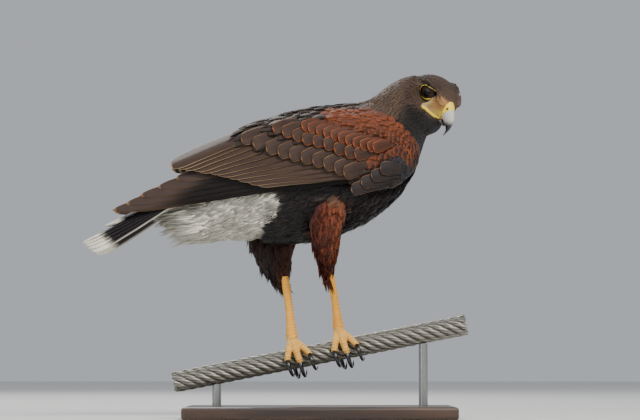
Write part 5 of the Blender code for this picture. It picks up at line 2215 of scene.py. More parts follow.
        roots = self.skin.scatter(("torso",), spacing, self.body_flow, seed=109)
        ground = self.grounds(roots)
        layer = Layer(length=0.020, width=0.0096, depth=0.0030, rim=0.08, tone=0.14)
        self.coat.lay(roots, layer, ground, ground * 1.3)
        sources = ("torso", "wing_right", "wing_left")
        roots = self.skin.scatter(sources, scapular_spacing, scapular_flow, seed=113)
        scale = 0.65 + 0.5 * smooth(0.01, -0.06, roots.points[:, 0])
        ground = np.broadcast_to(np.array(MANTLE_BROWN) * 1.05, (len(roots), 3))
        layer = Layer(length=0.032, width=0.0145, depth=0.0068, rim=0.06, tone=0.16)
        self.coat.lay(roots, layer, ground, np.array(WING_BROWN) * 1.25, scale)
        self.coat.finish_coat("coat_mantle", "plumage_dark")

    def breast(self) -> None:
        """Breast, belly and flanks, dark brown with painted shade underneath, and a little loose."""

        def spacing(points: Array, normals: Array) -> Array:
            """On the lower half, forward of the vent.

            Args:
                points: places on the bird.
                normals: the ways out of it there.
            Returns:
                The distance to keep at each, 0 for no feather.
            """
            use = (normals[:, 2] < 0.30) & (MARKS.neck_share(points) < 0.75)
            use &= (points[:, 0] > -0.046) & (self.covered(points) < 0.016)
            return np.where(use, 0.0036, 0.0)

        roots = self.skin.scatter(("torso", "throat"), spacing, self.body_flow, seed=127)
        ground = self.grounds(roots)
        rust = smooth(-0.01, 0.06, roots.points[:, 0])[:, None]
        fringe = ground * 1.3 * (1.0 - 0.4 * rust) + np.array(RUST) * 0.16 * rust
        layer = Layer(length=0.0185, width=0.0084, depth=0.0036, rim=0.12, tone=0.16, barb=0.0012)
        self.coat.lay(roots, layer, ground, fringe)
        plumes = roots.pick(self.coat.rng.random(len(roots)) < 0.35)
        layer = Layer(
            length=0.024, width=0.0100, depth=0.0052, kind=Template.PLUME, rim=0.1, tone=0.15, barb=0.0012
        )
        self.coat.lay(plumes, layer, self.grounds(plumes), self.grounds(plumes) * 1.2)
        self.coat.finish_coat("coat_breast", "plumage_dark")

    def vent(self) -> None:
        """The long soft cream feathers of the vent and under and over the root of the tail."""

        def spacing(points: Array, normals: Array) -> Array:
            """Behind the legs.

            Args:
                points: places on the bird.
                normals: the ways out of it there.
            Returns:
                The distance to keep at each, 0 for no feather.
            """
            use = (points[:, 0] < -0.026) & (self.covered(points) < 0.022)
            use &= (normals[:, 2] < 0.35) | (points[:, 0] < -0.112)
            return np.where(use, 0.0042, 0.0)

        def flow(points: Array, normals: Array) -> Array:
            """Back and a little down.

            Args:
                points: places on the bird.
                normals: the ways out of it there.
            Returns:
                A way for each place.
            """
            ways = self.body_flow(points, normals)
            ways[:, 2] -= 0.30 * smooth(0.1, -0.6, normals[:, 2])
            return ways

        roots = self.skin.scatter(("torso",), spacing, flow, seed=131)
        cream = MARKS.vent_share(roots.points)
        end = (roots.points[:, 0] < -0.105) & (roots.points[:, 2] > 0.262)
        roots = roots.pick((cream > 0.3) & ~end & (roots.normals[:, 0] > -0.9))
        hang = smooth(-0.078, -0.112, roots.points[:, 0]) * smooth(0.15, -0.35, roots.normals[:, 2])
        roots.flow = unit(lerp(roots.flow, np.array((-1.0, 0.0, -0.34)), hang))
        along = np.sum(roots.normals * roots.flow, axis=1, keepdims=True)
        roots.normals = unit(roots.normals - roots.flow * along)
        back = smooth(-0.06, -0.12, roots.points[:, 0])
        low = smooth(0.2, -0.6, roots.normals[:, 2])
        scale = 0.62 + 0.85 * back * low
        ground = np.broadcast_to(CREAM, (len(roots), 3))
        layer = Layer(
            length=0.040, width=0.0125, depth=0.0085, kind=Template.PLUME,
            rim=0.1, tone=0.10, spread=0.22, barb=0.0012,
        )
        self.coat.lay(roots, layer, ground, np.array(CREAM) * 1.08, scale)
        leaves = roots.pick(self.coat.rng.random(len(roots)) < 0.6)
        back = smooth(-0.06, -0.13, leaves.points[:, 0]) * smooth(0.2, -0.6, leaves.normals[:, 2])
        layer = Layer(length=0.036, width=0.0120, depth=0.0065, rim=0.1, tone=0.10, spread=0.18)
        self.coat.lay(leaves, layer, np.array(CREAM) * 0.92, CREAM, 0.62 + 0.72 * back)
        self.coat.finish_coat("coat_vent", "plumage_dark")

    def thigh(self, form: ThighForm) -> None:
        """The loose trousers of one thigh, hanging past the top of the bare leg.

        Args:
            form: the thigh's form.
        """

        def spacing(points: Array, normals: Array) -> Array:
            """All over it."""
            return np.full(len(points), 0.0038)

        def flow(points: Array, normals: Array) -> Array:
            """Down, drawn in towards the leg and a little back."""
            return np.broadcast_to(np.array((-0.10, 0.0, -1.0)), points.shape)

        name = f"thigh_{form.side.label}"
        roots = self.skin.scatter((name,), spacing, flow, seed=137)
        roots = roots.pick(roots.normals[:, 2] > -0.8)
        ground = MARKS.thigh(roots.points, form.side)
        down = smooth(0.22, 0.165, roots.points[:, 2])
        rear = smooth(0.0, -0.8, roots.normals[:, 0])
        scale = 0.80 + 0.15 * rear - 0.15 * down
        layer = Layer(
            length=0.023, width=0.0088, depth=0.0036, rim=0.12, tone=0.16, spread=0.16, barb=0.0012
        )
        self.coat.lay(roots, layer, ground, ground * 1.25, scale)
        plumes = roots.pick(self.coat.rng.random(len(roots)) < 0.55)
        ground = MARKS.thigh(plumes.points, form.side)
        rear = smooth(0.0, -0.8, plumes.normals[:, 0])
        layer = Layer(
            length=0.026, width=0.0085, depth=0.0046, kind=Template.PLUME,
            rim=0.1, tone=0.18, spread=0.22, barb=0.0012,
        )
        self.coat.lay(plumes, layer, ground, ground * 1.2, 0.80 + 0.25 * rear)
        self.coat.finish_coat(f"coat_thigh_{form.side.label}", "plumage_rust")

    def shoulder(self, side: Side) -> None:
        """The small coverts over the arm of one wing.

        Args:
            side: which side.
        """

        def spacing(points: Array, normals: Array) -> Array:
            """Closest at the leading edge."""
            return 0.0038 - 0.0009 * smooth(0.075, 0.105, points[:, 0])

        def flow(points: Array, normals: Array) -> Array:
            """Back and down, more steeply round the wrist."""
            steep = 0.34 + 0.9 * smooth(0.070, 0.112, points[:, 0])
            return np.stack([np.full(len(points), -1.0), np.zeros(len(points)), -steep], axis=1)

        roots = self.skin.scatter((f"wing_{side.label}",), spacing, flow, seed=139)
        outer = roots.normals[:, 1] * side.value
        roots = roots.pick((outer > -0.35) & (roots.points[:, 0] > -0.098))
        ground, fringe, middle = MARKS.wing(roots.points)
        low = smooth(0.300, 0.283, roots.points[:, 2] - 0.10 * roots.points[:, 0])
        scale = 0.95 - 0.28 * smooth(0.070, 0.105, roots.points[:, 0]) + 0.15 * low
        layer = Layer(
            length=0.0155, width=0.0090, depth=0.0023, rim=0.12, tone=0.13, spread=0.14, barb=0.0012
        )
        self.coat.lay(roots, layer, ground, fringe, scale, middle)
        self.coat.finish_coat(f"coat_shoulder_{side.label}", "plumage_rust")


@dataclass(frozen=True)
class Quill:
    """One long feather on the side of the folded wing, set by root and tip on the side view."""

    root: tuple[float, float]
    tip: tuple[float, float]
    half_width: float
    offsets: tuple[float, float]
    tilt: float
    outline: tuple
    ground: Colour
    fringe: Colour
    rim: float = 0.15
    middle: float = 0.0
    # How much painted shade darkens the feather towards its root.
    hidden: float = 0.0
    bow: float = 0.016


FLIGHT = ((0.0, 0.60), (0.32, 0.92), (0.64, 1.0), (0.88, 0.84), (1.0, 0.60))
SECONDARY = ((0.0, 0.60), (0.45, 0.97), (0.87, 0.90), (1.0, 0.70))
COVERT = ((0.0, 0.70), (0.50, 1.0), (0.86, 0.92), (1.0, 0.72))


VANE_THICKNESS = 0.0006
SHAFT_RISE = 0.00025
BARB_PITCH = 0.0016


class VaneSheets:
    """Gathers long feathers as thin closed sheets, each with its own strip of the baking map."""

    def __init__(self, strips: int) -> None:
        """Start empty, with room for a number of strips.

        Args:
            strips: how many sheets there will be.
        """
        self.parts = MeshParts()
        self.strips, self.used = strips, 0
        self.rng = np.random.default_rng(VANE_SEED)

    def widths(self, outline: tuple, rows: Array) -> Array:
        """How wide a feather is along its length, its end rounded.

        Args:
            outline: pairs of place and width along the feather.
            rows: places along the feather.
        Returns:
            A share of the full width for each.
        """
        keys = np.array(outline)
        wide = np.interp(rows, keys[:, 0], keys[:, 1])
        rounded = np.clip((rows - 0.90) / 0.10, 0.0, 1.0)
        ragged = 1.0 + 0.03 * np.interp(rows, np.linspace(0, 1, 9), self.rng.uniform(-1, 1, 9))
        return wide * np.sqrt(np.maximum(1.0 - rounded**2.2, 0.0016)) * ragged

    def add(self, middle: Array, normals: Array, looks: dict[str, Array]) -> None:
        """Add one sheet.

        Args:
            middle: its middle surface, by row and column.
            normals: the ways out of it.
            looks: painted layers, by row and column, Vane among them.
        """
        rows, columns = middle.shape[:2]
        across = np.linspace(-1.0, 1.0, columns)
        body = (0.25 + 0.75 * (1.0 - across**2))[None, :, None] * VANE_THICKNESS * 0.5
        shaft = (np.abs(across) < 0.05)[None, :, None] * SHAFT_RISE
        outer = middle + normals * (body + shaft)
        inner = middle - normals * (body + shaft * 0.6)
        points = np.concatenate([outer.reshape(-1, 3), inner.reshape(-1, 3)])
        half = rows * columns
        faces = []
        for i in range(rows - 1):
            for j in range(columns - 1):
                a, b = i * columns + j, i * columns + j + 1
                c, d = b + columns, a + columns
                faces += [[a, b, c, d], [half + d, half + c, half + b, half + a]]
        border = list(range(columns))
        border += [i * columns + columns - 1 for i in range(1, rows)]
        border += [(rows - 1) * columns + j for j in range(columns - 2, -1, -1)]
        border += [i * columns for i in range(rows - 2, 0, -1)]
        for k, here in enumerate(border):
            there = border[(k + 1) % len(border)]
            faces.append([there, here, half + here, half + there])
        painted = {
            name: np.concatenate([layer.reshape(-1, layer.shape[-1])] * 2) for name, layer in looks.items()
        }
        vane = painted["Vane"]
        strip = (self.used + 0.5) / self.strips
        map_u = strip + (vane[:, :1] - 0.5) * 0.8 / self.strips
        painted["OFBake"] = np.concatenate([map_u, 0.02 + vane[:, 1:] * 0.96], axis=1)
        self.used += 1
        self.parts.add(points, faces, **painted)

    def finish(self, name: str, slot: str, nodes: Sequence[str], dress: bpy.types.Material) -> None:
        """Make the sheets one piece that stands for CAD nodes.

        Args:
            name: the piece's name.
            slot: not used.
            nodes: the CAD nodes it stands for.
            dress: its material.
        """
        obj = outward(self.parts.build(name))
        obj.data.materials.append(dress)
        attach(obj, BODY)
        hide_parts(*nodes)
        report(obj)


def flat_looks(quill: Quill, grid_u: Array, grid_v: Array, length: float) -> dict[str, Array]:
    """Painted layers of a long feather, the same all over it except for painted shade towards the root.

    Args:
        quill: the feather.
        grid_u: places across it, -1 to 1.
        grid_v: places along it, 0 to 1.
        length: its length in metres.
    Returns:
        Rows for each layer by name.
    """
    shape = grid_u.shape
    # Painted shade: the root part is darker where the feather passes under others.
    shown = 1.0 - quill.hidden * smooth(0.86, 0.70, grid_v)[..., None]
    return {
        "Vane": np.stack([0.5 + 0.5 * grid_u, grid_v], axis=-1),
        "ground": np.array(quill.ground) * shown,
        "fringe": np.array(quill.fringe) * shown,
        "rim": quill.rim * (0.5 + 0.5 * smooth(0.55, 0.90, grid_v))[..., None],
        "middle": np.full((*shape, 1), quill.middle),
        "barbs": np.full((*shape, 1), length / BARB_PITCH),
    }


@dataclass
class Wing:
    """The long feathers of one folded wing."""

    side: Side
    dress: bpy.types.Material
    rows: int = 26
    columns: int = 9
    primary_roots: tuple = ((0.050, 0.266), (0.006, 0.288))
    primary_tips: tuple = (
        (-0.214, 0.232), (-0.231, 0.231), (-0.216, 0.238), (-0.200, 0.247), (-0.180, 0.256),
        (-0.160, 0.266),
    )
    secondary_roots: tuple = ((0.044, 0.270), (-0.042, 0.329))
    secondary_tips: tuple = ((-0.074, 0.261), (-0.108, 0.270), (-0.140, 0.276), (-0.168, 0.280))
    secondary_count: int = 11
    greater_tips: tuple = (
        (-0.087, 0.307), (-0.066, 0.298), (-0.046, 0.291), (-0.027, 0.286), (-0.008, 0.281),
        (0.010, 0.275), (0.026, 0.268),
    )
    median_tips: tuple = (
        (-0.052, 0.318), (-0.034, 0.311), (-0.017, 0.304), (0.002, 0.300), (0.020, 0.292),
        (0.038, 0.288),
    )
    lesser_tips: tuple = (
        (-0.020, 0.320), (-0.004, 0.314), (0.012, 0.309), (0.028, 0.303), (0.044, 0.298),
        (0.058, 0.296),
    )
    hand_roots: tuple = ((0.080, 0.263), (0.090, 0.274))
    hand_tips: tuple = ((0.034, 0.250), (0.045, 0.258), (0.056, 0.266), (0.066, 0.275))

    def quills(self) -> list[Quill]:
        """All long feathers, inner tiers first.

        Returns:
            The feathers.
        """
        rng = np.random.default_rng(QUILL_SEED)
        quills = []
        roots = curve(self.primary_roots, len(self.primary_tips))
        for root, tip in zip(roots, self.primary_tips):
            tone = 1.0 + 0.08 * rng.uniform(-1, 1)
            ground = tuple(np.array(QUILL_BROWN) * tone)
            shape = (0.0080, (0.0040, 0.0030), 0.0018, FLIGHT)
            # Painted shade darkens the primaries' roots, where they lie in the dark gap under the
            # secondaries.
            quills.append(Quill(tuple(root), tip, *shape, ground, BUFF, rim=0.035, hidden=0.88))
        places = np.linspace(0, 1, self.secondary_count)
        tips = resample(self.secondary_tips, places)
        roots = resample(self.secondary_roots, places)
        for i, (root, tip) in enumerate(zip(roots, tips)):
            tone = 1.0 + 0.08 * rng.uniform(-1, 1)
            ground = tuple(np.array(WING_BROWN) * tone)
            tip = (tip[0] + rng.uniform(-0.002, 0.002), tip[1])
            shape = (0.0098, (0.0080, 0.0080), 0.0024 * (1.0 + 0.05 * i), SECONDARY)
            quills.append(Quill(tuple(root), tip, *shape, ground, PALE_BUFF, rim=0.045))
        tiers = (
            (self.greater_tips, 10, 0.0144, 0.036, 0.0088, WING_BROWN, 0.060),
            (self.median_tips, 9, 0.0170, 0.028, 0.0078, MEDIAN_BROWN, 0.085),
            (self.lesser_tips, 11, 0.0184, 0.020, 0.0066, LESSER_RUST, 0.120),
        )
        for keys, count, base, length, half, ground, rim in tiers:
            for k, spot in enumerate(curve(keys, count)):
                tip = (float(spot[0]), float(spot[1]))
                root = (tip[0] + length, tip[1] + length * 0.34)
                fringe = tuple(lerp(BUFF, RUST_EDGE, smooth(0.0144, 0.0180, base)))
                shape = (half, (base - 0.0042, base + 0.0004 * (k % 2)), -0.0014, COVERT)
                quills.append(Quill(root, tip, *shape, ground, fringe, rim, middle=0.5))
        roots = curve(self.hand_roots, len(self.hand_tips))
        for root, tip in zip(roots, self.hand_tips):
            shape = (0.0078, (0.0178 - 0.0042, 0.0178), 0.0022, COVERT)
            quills.append(Quill(tuple(root), tip, *shape, HAND_DARK, BUFF, rim=0.05, middle=0.3))
        return quills

    def build(self) -> None:
        """Make the wing's long feathers one piece."""
        quills = self.quills()
        sheets = VaneSheets(len(quills))
        v = np.linspace(0.0, 1.0, self.rows)
        v = 1.0 - (1.0 - v) ** 1.25
        u = np.linspace(-1.0, 1.0, self.columns)
        grid_u, grid_v = np.meshgrid(u, v)
        for quill in quills:
            root, tip = np.array(quill.root), np.array(quill.tip)
            run = tip - root
            length = float(np.linalg.norm(run))
            down = np.array((run[1], -run[0])) / length
            down = -down if down[1] > 0 else down
            wide = sheets.widths(quill.outline, v)
            centre = root + v[:, None] * run - down * (quill.bow * length * np.sin(np.pi * v))[:, None]
            spots = centre[:, None, :] + down * (grid_u * (quill.half_width * wide)[:, None])[..., None]
            base = quill.offsets[0] + (quill.offsets[1] - quill.offsets[0]) * grid_v
            camber = 0.0005 * (1.0 - grid_u**2)
            offsets = base + quill.tilt * grid_u * wide[:, None] + camber
            x, z = spots[..., 0].ravel(), spots[..., 1].ravel()
            points, normals = WING.point(x, z, offsets.ravel(), self.side)
            shape = (self.rows, self.columns, 3)
            looks = flat_looks(quill, grid_u, grid_v, length)
            sheets.add(points.reshape(shape), normals.reshape(shape), looks)
        node = f"wing_{self.side.label}"
        sheets.finish(f"{node}_feathers", "plumage_rust", (node,), self.dress)


@dataclass
class Tail:
    """Twelve tail feathers in a roof, near black with white ends and white roots."""

    dress: bpy.types.Material
    root: tuple = (-0.118, 0.269)
    tip: tuple = (-0.268, 0.196)
    pairs: int = 5
    spread_root: float = 0.0012
    spread_tip: float = 0.0050
    drop: float = 0.022
    half_width: float = 0.030
    feather_half_width: float = 0.0100
    tilt: float = 0.0038
    rows: int = 34
    columns: int = 9
    white_end: tuple = (0.845, 0.875)
    white_root: tuple = (0.30, 0.24)

    def surface(self, t: Array, y: Array, lift: Array) -> tuple[Array, Array]:
        """Points over the roof of the tail and the ways up from it.

        Args:
            t: places along the tail, 0 to 1.
            y: distances from its middle.
            lift: how far over the roof the points lie.
        Returns:
            The points and the unit ways.
        """
        run = np.array((self.tip[0] - self.root[0], 0.0, self.tip[1] - self.root[1]))
        along = run / np.linalg.norm(run)
        up = np.array((-along[2], 0.0, along[0]))
        up = -up if up[2] < 0 else up
        level = np.abs(y) / self.half_width
        slope = 1.6 * self.drop / self.half_width * level**0.6 * np.sign(y)
        normal = np.broadcast_to(up, (*y.shape, 3)).copy()
        normal[..., 1] += slope
        normal = unit(normal)
        base = np.array((self.root[0], 0.0, self.root[1])) + run * t[..., None]
        points = base - up * (self.drop * level**1.6)[..., None] + normal * lift[..., None]
        points[..., 1] += y
        return points, normal

    def build(self) -> None:
        """Make the tail one piece."""
        sheets = VaneSheets(2 * (self.pairs + 1))
        v = np.linspace(0.0, 1.0, self.rows)
        u = np.linspace(-1.0, 1.0, self.columns)
        grid_u, grid_v = np.meshgrid(u, v)
        for index in range(self.pairs + 1):
            for side in Side:
                reach = 1.0 - 0.010 * index if index else 0.80
                wide = sheets.widths(FLIGHT, v)
                centre = (self.spread_root + (self.spread_tip - self.spread_root) * grid_v) * index
                y = centre + grid_u * self.feather_half_width * wide[:, None]
                if index:
                    y = np.maximum(y, 0.0006 + 0.0012 * (grid_u + 1.0))
                    lift = self.tilt * (y - centre) / self.feather_half_width
                else:
                    lift = np.full_like(y, 0.0044 + 0.0006 * side.value)
                lift = lift + 0.0005 * (1.0 - grid_u**2)
                points, normals = self.surface(grid_v * reach, y * side.value, lift)
                sheets.add(points, normals, self.looks(grid_u, grid_v, reach, index))
        sheets.finish("tail_feathers", "plumage_dark", ("tail",), self.dress)

    def looks(self, grid_u: Array, grid_v: Array, reach: float, index: int) -> dict[str, Array]:
        """Painted layers of one tail feather.

        Args:
            grid_u: places across it, -1 to 1.
            grid_v: places along it, 0 to 1.
            reach: its length as a share of the tail's.
            index: the feather's number from the middle.
        Returns:
            Rows for each layer by name.
        """
        quill = Quill((0, 0), (0, 0), 0.0, (0, 0), 0.0, FLIGHT, TAIL_DARK, CREAM, 0.0)
        looks = flat_looks(quill, grid_u, grid_v, 0.166 * reach)
        wander = 0.006 * np.sin(grid_u * 7.0 + index * 2.1) + 0.010 * np.abs(grid_u)
        place = grid_v + wander
        white = smooth(*self.white_end, place) + smooth(*self.white_root, place)
        outer = smooth(0.80, 0.95, grid_u) * (0.6 if index == self.pairs else 0.0)
        white = np.clip(white + outer, 0.0, 1.0)
        looks["ground"] = lerp(TAIL_DARK, CREAM, white)
        return looks


@dataclass
class Face:
    """Cere, bill, gape and eyes."""

    skin: Skin
    gape_radius: float = 0.0019
    gape_points: int = 20
    gape_sides: int = 12
    eye_rows: int = 34
    eye_points: int = 40
    eye_pole: float = 0.02
    upper_rows: int = 110
    upper_points: int = 48
    upper_power: float = 2.15
    lower_rows: int = 30
    lower_points: int = 32

    def bill_rings(self, stations: tuple, rows: int, count: int, power: float = 2.0) -> Array:
        """Sections of the bill in the head's frame."""
        return np.array([oval_ring(station, power, count) for station in curve(stations, rows)])

    def cut(self, obj: bpy.types.Object, keep_front: bool) -> None:
        """Cut a piece along the slanting edge between cere and horn, and close the cut.

        Args:
            obj: the object.
            keep_front: whether the part before the edge stays.
        """
        axes = HEAD.axes()
        f, u, along, up = HEAD.horn_edge
        plane = HEAD.outside((f, 0.0, u))
        way = (axes[0] * along + axes[2] * up) * (1.0 if keep_front else -1.0)
        bm = bmesh.new()
        bm.from_mesh(obj.data)
        everything = list(bm.verts) + list(bm.edges) + list(bm.faces)
        cut = bmesh.ops.bisect_plane(
            bm, geom=everything, dist=1e-7, plane_co=plane.tolist(), plane_no=way.tolist(), clear_inner=True
        )
        edges = [item for item in cut["geom_cut"] if isinstance(item, bmesh.types.BMEdge)]
        filled = bmesh.ops.edgeloop_fill(bm, edges=edges)["faces"]
        bmesh.ops.triangulate(bm, faces=filled)
        bmesh.ops.recalc_face_normals(bm, faces=bm.faces)
        bm.to_mesh(obj.data)
        bm.free()

    def upper(self) -> None:
        """The cere with its nostrils, and the hooked upper bill."""
        for name in ("cere", "bill_upper"):
            is_cere = name == "cere"
            shape = (self.upper_rows, self.upper_points, self.upper_power)
            rings = self.bill_rings(HEAD.upper_bill, *shape)
            local = self.model_upper(rings.reshape(-1, 3), is_cere)
            parts = MeshParts()
            parts.add(HEAD.outside(local), loft(rings)[1], ground=self.bill_colour(local, is_cere))
            obj = parts.build(f"{name}_shape")
            self.cut(obj, not is_cere)
            obj.data.shade_smooth()
            cere = SkinFinish(roughness=0.38, cell=0.0009, depth=0.00008, crease=0.12)
            finish = cere if is_cere else HornFinish()
            obj.data.materials.append(finish.material("cere skin" if is_cere else "upper horn"))
            self.place(obj, name, "cere_skin" if is_cere else "horn")

    def model_upper(self, local: Array, is_cere: bool) -> Array:
        """Swell the cere over the horn and sink the nostrils into it.

        Args:
            local: places in the head's frame.
            is_cere: whether it is the cere, not the horn.
        Returns:
            The moved places.
        """
        local = local.copy()
        f, side, u = local[:, 0], local[:, 1], local[:, 2]
        if is_cere:
            level = HEAD.nostril_level(local)
            ef, eu, along, up = HEAD.horn_edge
            swell = 1.0 + 0.06 * smooth(0.0, -0.0015, (f - ef) * along + (u - eu) * up)
            centre = np.array((0.0, 0.0, -0.001))
            local = centre + (local - centre) * np.stack([np.ones_like(f), swell, swell], axis=1)
            rim = 0.0003 * smooth(1.9, 1.3, level) * smooth(1.0, 1.3, level)
            local[:, 1] -= np.sign(side) * (smooth(1.15, 0.55, level) * 0.0022 - rim)
        else:
            notch = np.exp(-(((f - 0.0385) / 0.0020) ** 2)) * smooth(-0.016, -0.019, u)
            local[:, 2] += 0.0008 * notch
        return local

    def bill_colour(self, local: Array, is_cere: bool) -> Array:
        """Yellow cere with dark nostrils, blue-grey horn turning black at the hook.

        Args:
            local: places in the head's frame.
            is_cere: whether it is the cere, not the horn.
        Returns:
            One colour for each place.
        """
        if is_cere:
            nostril = smooth(1.05, 0.70, HEAD.nostril_level(local))
            return lerp(CERE_YELLOW, NOSTRIL_BROWN, nostril)
        hook = smooth(-0.0110, -0.0190, local[:, 2] - 0.5 * (local[:, 0] - 0.040))
        return lerp(HORN_BLUE, HORN_BLACK, hook)

    def lower(self) -> None:
        """The lower bill under the hook."""
        rings = self.bill_rings(HEAD.lower_bill, self.lower_rows, self.lower_points)
        local, faces = loft(rings)
        shade = smooth(0.0235, 0.0285, local[:, 0] - 0.5 * (local[:, 2] + 0.016))
        colour = lerp(LOWER_BILL_YELLOW, LOWER_BILL_DARK, shade)
        obj = closed("bill_lower_shape", (HEAD.outside(local), faces), ground=colour)
        obj.data.materials.append(HornFinish().material("lower horn"))
        self.place(obj, "bill_lower", "horn")

    def place(self, obj: bpy.types.Object, node: str, slot: str) -> None:
        """Attach a piece to the body, and let it stand for its CAD node, which is hidden.

        Args:
            obj: the piece.
            node: the CAD node it stands for.
            slot: not used.
        """
        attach(obj, BODY)
        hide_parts(node)
        report(obj)

    def gape(self) -> None:
        """The yellow skin along the mouth, from the bill to behind the eye's front."""
        parts = MeshParts()
        for side in Side:
            path, radii = [], []
            places = np.linspace(0.0, 1.0, self.gape_points)
            for t, (f, u) in zip(places, resample(HEAD.gape, places)):
                start = HEAD.outside((f, 0.040 * side.value, u))
                target = HEAD.outside((f, 0.0, u))
                hit = self.skin.tree.ray_cast(start, unit(target - start))[0]
                wide = 0.0088 - (f - 0.025) * 0.25
                past = hit is None or f > 0.0275
                path.append(HEAD.outside((f, wide * side.value, u)) if past else np.array(hit))
                taper = 1.0 - 0.55 * float(smooth(0.78, 1.0, t))
                radii.append(self.gape_radius * taper * (1.0 - 0.25 * t) * min(1.0, 0.55 + 6.0 * t))
            form = tube(np.array(path), np.array(radii), self.gape_sides)
            parts.add(*form, ground=np.array(CERE_YELLOW) * 0.95)
        obj = outward(parts.build("gape_skin"))
        finish = SkinFinish(roughness=0.42, cell=0.0009, depth=0.0001, crease=0.15)
        obj.data.materials.append(finish.material("gape skin"))
        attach(obj, BODY)
        report(obj)

    def eye(self, side: Side) -> None:
        """One wet eyeball with iris and pupil.

        Args:
            side: which side.
        """
        centre, axis, along, upward = HEAD.eye(side)
        turns = np.linspace(self.eye_pole, np.pi - self.eye_pole, self.eye_rows)
        rounds = circle(self.eye_points)
        rings = []
        for t in turns:
            wide, tall, deep = HEAD.eye_size
            ring = np.outer(np.cos(rounds), along) * wide + np.outer(np.sin(rounds), upward) * tall
            rings.append(centre + axis * np.cos(t) * deep + ring * np.sin(t))
        points, faces = loft(np.array(rings))
        reach = np.linalg.norm((points - centre) - np.outer((points - centre) @ axis, axis), axis=1)
        front = np.repeat(np.cos(turns), self.eye_points) > 0
        pupil = np.where(front, smooth(*HEAD.pupil_edge, reach), 0.0)
        colour = lerp(IRIS_BROWN, PUPIL_BLACK, pupil)
        colour = lerp(colour, EYE_RIM_BLACK, smooth(*HEAD.iris_edge, reach))
        obj = closed(f"eyeball_{side.label}", (points, faces), ground=colour)
        obj.data.materials.append(EyeFinish().material(f"wet eye {side.label}"))
        self.place(obj, f"eye_{side.label}", "eye")

    def build(self) -> None:
        """Build every part of the face."""
        self.upper()
        self.lower()
        self.gape()
        for side in Side:
            self.eye(side)


@dataclass(frozen=True)
class Toe:
    """One toe round the cable: reach along it, first and last turn in degrees, radii."""

    name: str
    axial: float
    first: float
    last: float
    base: float
    end: float


TOES = (
    Toe("inner", -0.010, 8.0, 96.0, 0.0042, 0.0032),
    Toe("middle", 0.004, 14.0, 112.0, 0.0044, 0.0033),
    Toe("outer", 0.017, 10.0, 88.0, 0.0040, 0.0030),
    Toe("hind", -0.004, -14.0, -112.0, 0.0044, 0.0034),
)


# For the right and the left leg: place along the cable, Y of the ankle, radius of the shank.
FEET = ((0.0255, -0.0010, 0.0045), (-0.0275, 0.0010, 0.0047))


